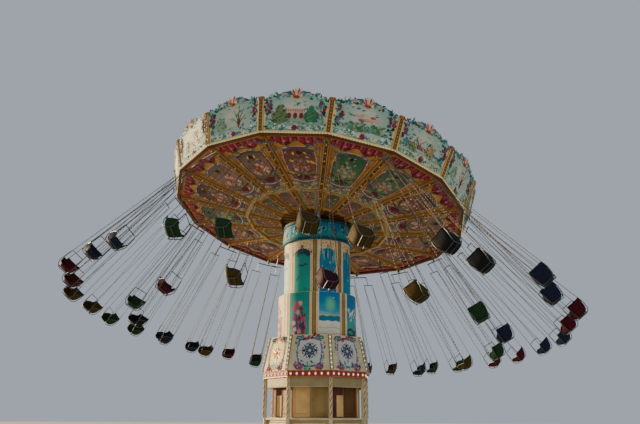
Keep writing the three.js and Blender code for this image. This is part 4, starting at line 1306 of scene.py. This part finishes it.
SIDE_TUBE = [(0.236, 0.2, 0.26), (0.25, 0.2, 0.2), (0.25, 0.19, 0.06), (0.21, 0.14, -0.035),
             (0.19, 0, -0.05), (0.19, -0.12, -0.046), (0.225, -0.2, 0.02), (0.252, -0.245, 0.2),
             (0.246, -0.262, 0.33), (0.236, -0.262, 0.41)]
ARM_TUBE = [(0.25, 0.2, 0.19), (0.25, 0, 0.265), (0.25, -0.23, 0.29)]
HOOP = [(-0.246, 0.205, 0.24), (-0.24, 0.206, 0.36), (-0.232, 0.207, 0.5), (-0.2, 0.208, 0.545)]


def seat_frame(on):
    """Steel tubes under and round the bucket, and the lap hoop swung up between the front chains."""
    for path, radius in ((SIDE_TUBE, 0.012), (ARM_TUBE, 0.011)):
        for s in (-1, 1):
            on.tube([(s * x, y, z) for x, y, z in path], radius, "frame_tube")
    on.tube(HOOP + [(-x, y, z) for x, y, z in HOOP[::-1]], 0.012, "frame_tube", 8)
    for y in (0.06, -0.1):
        on.tube([(-0.19, y, -0.052), (0.19, y, -0.052)], 0.011, "frame_tube")
    for s in (-1, 1):
        for y, z in ((0.2, 0.245), (-0.262, 0.4)):
            on.tube([(s * 0.225, y, z), (s * 0.252, y, z)], 0.02, "chain", 8)


def chain(on, top, bottom):
    """Open links, each turned a quarter from the last."""
    link, overlap, half_width = 0.066, 0.012, 0.012
    top, bottom = Vector(top), Vector(bottom)
    run = bottom - top
    way = run.normalized()
    one = way.orthogonal().normalized()
    two = way.cross(one)
    count = round(run.length / link)
    pitch = run.length / count
    for k in range(count):
        middle = top + way * pitch * (k + 0.5)
        path = [middle + way * a * (pitch + overlap) + (one if k % 2 else two) * b * half_width
                for a, b in ((-0.5, 0), (-0.32, 1.0), (0.32, 1.0), (0.5, 0), (0.32, -1.0), (-0.32, -1.0))]
        on.tube(path, 0.0055, "chain", 3, closed=True)


def hung_chair(piece, place, drop):
    """Link, spreader, four chains and the seat, hung from the place's origin along -Z."""
    on = Brush(piece, place)
    on.tube([(0, 0, -0.02), (0, 0, -SPREADER_DROP)], 0.014, "steel", 8)
    on.tube([(0, -0.225, -SPREADER_DROP), (0, 0.225, -SPREADER_DROP)], 0.018, "steel", 8)
    for y, z in ((0.2, 0.24), (-0.262, 0.395)):
        for s in (-1, 1):
            chain(on, (0, copysign(0.205, y), -SPREADER_DROP - 0.012), (s * 0.236, y, z - drop + 0.02))
    low = Brush(piece, place @ Matrix.Translation((0, 0, -drop)))
    loft_seat(low)
    seat_frame(low)


def swivel(piece):
    on = Brush(piece, WORLD)
    on.tube([(0, -0.05, 0), (0, 0.05, 0)], 0.03, "steel", 16)
    on.tube([(0, 0, -0.01), (0, 0, -0.07)], 0.024, "steel", 8)
    return on


def swing_place(joint, flare):
    at = Vector(joint["pos_m"])
    out = Vector((at.x, at.y, 0)).normalized()
    up = Vector((0, 0, cos(flare))) - out * sin(flare)
    axis = -Vector(joint["axis"]).normalized()
    return axes(axis.cross(up), axis, up, at)


# Seat paints by rib
PAIR_SEATS = "navy maroon green gold slate maroon navy green gold maroon navy green gold charcoal navy maroon"
INNER_SEATS = "green gold navy slate maroon green gold navy charcoal green maroon gold plum gold green navy"


def swings():
    """Builds a single chair and a pair once each, and hangs them at every rib with that rib's seat paint."""
    single, pair = Piece("single"), Piece("pair")
    swivel(single)
    hung_chair(single, WORLD, INNER_DROP)
    on = swivel(pair)
    on.tube([(0, 0, 0), (0, 0, -CROSSBAR_DROP)], 0.018, "steel", 8)
    reach = PAIR_HALF + 0.02
    on.tube([(0, -reach, -CROSSBAR_DROP), (0, reach, -CROSSBAR_DROP)], 0.024, "steel", 8)
    splay = asin(PAIR_HALF / OUTER_R)
    plumb = Vector((sin(OUTER_FLARE), 0, cos(OUTER_FLARE)))
    for s in (-1, 1):
        place = Matrix.Translation((0, s * PAIR_HALF, -CROSSBAR_DROP)) @ Matrix.Rotation(s * splay, 4, plumb)
        hung_chair(pair, place, OUTER_DROP - CROSSBAR_DROP)
    for i in range(RIBS):
        number = f"{i + 1:02d}"
        for piece, name, joint, flare, seats in (
                (pair, "outer_pair_" + number, "outer_swing_" + number, OUTER_FLARE, PAIR_SEATS),
                (single, "inner_swing_" + number, f"inner_swing_{number}_hinge", INNER_FLARE, INNER_SEATS)):
            piece.name = name + "_chairs"
            place = swing_place(JOINTS[joint], flare)
            piece.done(name, [name], smooth=40, place=place, seat=SEATS[nth(seats, i)])


# CAD pieces that stay as they are, with better paint

def repaint():
    paints = dict(
        steel="base_frame tilt_yoke tilt_head canopy_hub", plate="deck_floor pavilion_roof",
        cream="cresting lower_column upper_column", rib="ceiling_inner ceiling_outer", sand="skirt_wall",
        # rim_beam in dark rosewood is a painted shadow line under the boards' pale moulding
        stone="pavilion_frame", board="machine_core", red="bulb_band", sea="collar", rosewood="rim_beam",
        roof_sheet="roof_cover")
    for paint, names in paints.items():
        for name in names.split():
            mesh = frame["nodes"][name].data
            mesh.materials.clear()
            mesh.materials.append(PAINT[paint])


# Stage

def stage():
    """Floor, sky light, sun and fill."""
    bpy.ops.mesh.primitive_plane_add(size=400, location=(0, 0, -0.002))
    floor = bpy.context.object
    floor.name = "floor"
    floor.data.materials.append(material("floor_paint", 0xD0CDC6, 0.7, grime=0.05, scale=0.2))
    world = bpy.context.scene.world or bpy.data.worlds.new("World")
    bpy.context.scene.world = world
    world.use_nodes = True
    sky = world.node_tree.nodes["Background"]
    sky.inputs["Color"].default_value = (0.74, 0.84, 0.95, 1)
    sky.inputs["Strength"].default_value = 0.52
    # low warm key from behind the ride's left, and a weak cool fill from the camera's side, angles in degrees
    for name, energy, colour, azimuth, height, width in (("key", 10.5, (1.0, 0.76, 0.42), 150, 9, 4),
                                                         ("fill", 0.35, (0.85, 0.92, 1.0), -60, 35, 40)):
        light = bpy.data.lights.new(name, "SUN")
        light.energy = energy
        light.color = colour
        light.angle = radians(width)
        made = bpy.data.objects.new(name, light)
        made.rotation_euler = (radians(90 - height), 0, radians(azimuth + 90))
        bpy.context.scene.collection.objects.link(made)


def camera():
    data = bpy.data.cameras.new("camera")
    data.sensor_width = 36.0
    data.lens = FOCAL_PX / FRAME_PX * data.sensor_width
    data.clip_end = 500
    made = bpy.data.objects.new("camera", data)
    turn = (Matrix.Rotation(-CAMERA_YAW, 4, "Z") @ Matrix.Rotation(pi / 2 + CAMERA_PITCH, 4, "X")
            @ Matrix.Rotation(CAMERA_ROLL, 4, "Z"))
    made.matrix_world = Matrix.Translation(CAMERA_AT) @ turn
    bpy.context.scene.collection.objects.link(made)
    bpy.context.scene.camera = made


for build in (repaint, rounding_boards, rim_lamps, ceiling, tower, collar, pavilion, roof, swings, stage,
              camera):
    build()
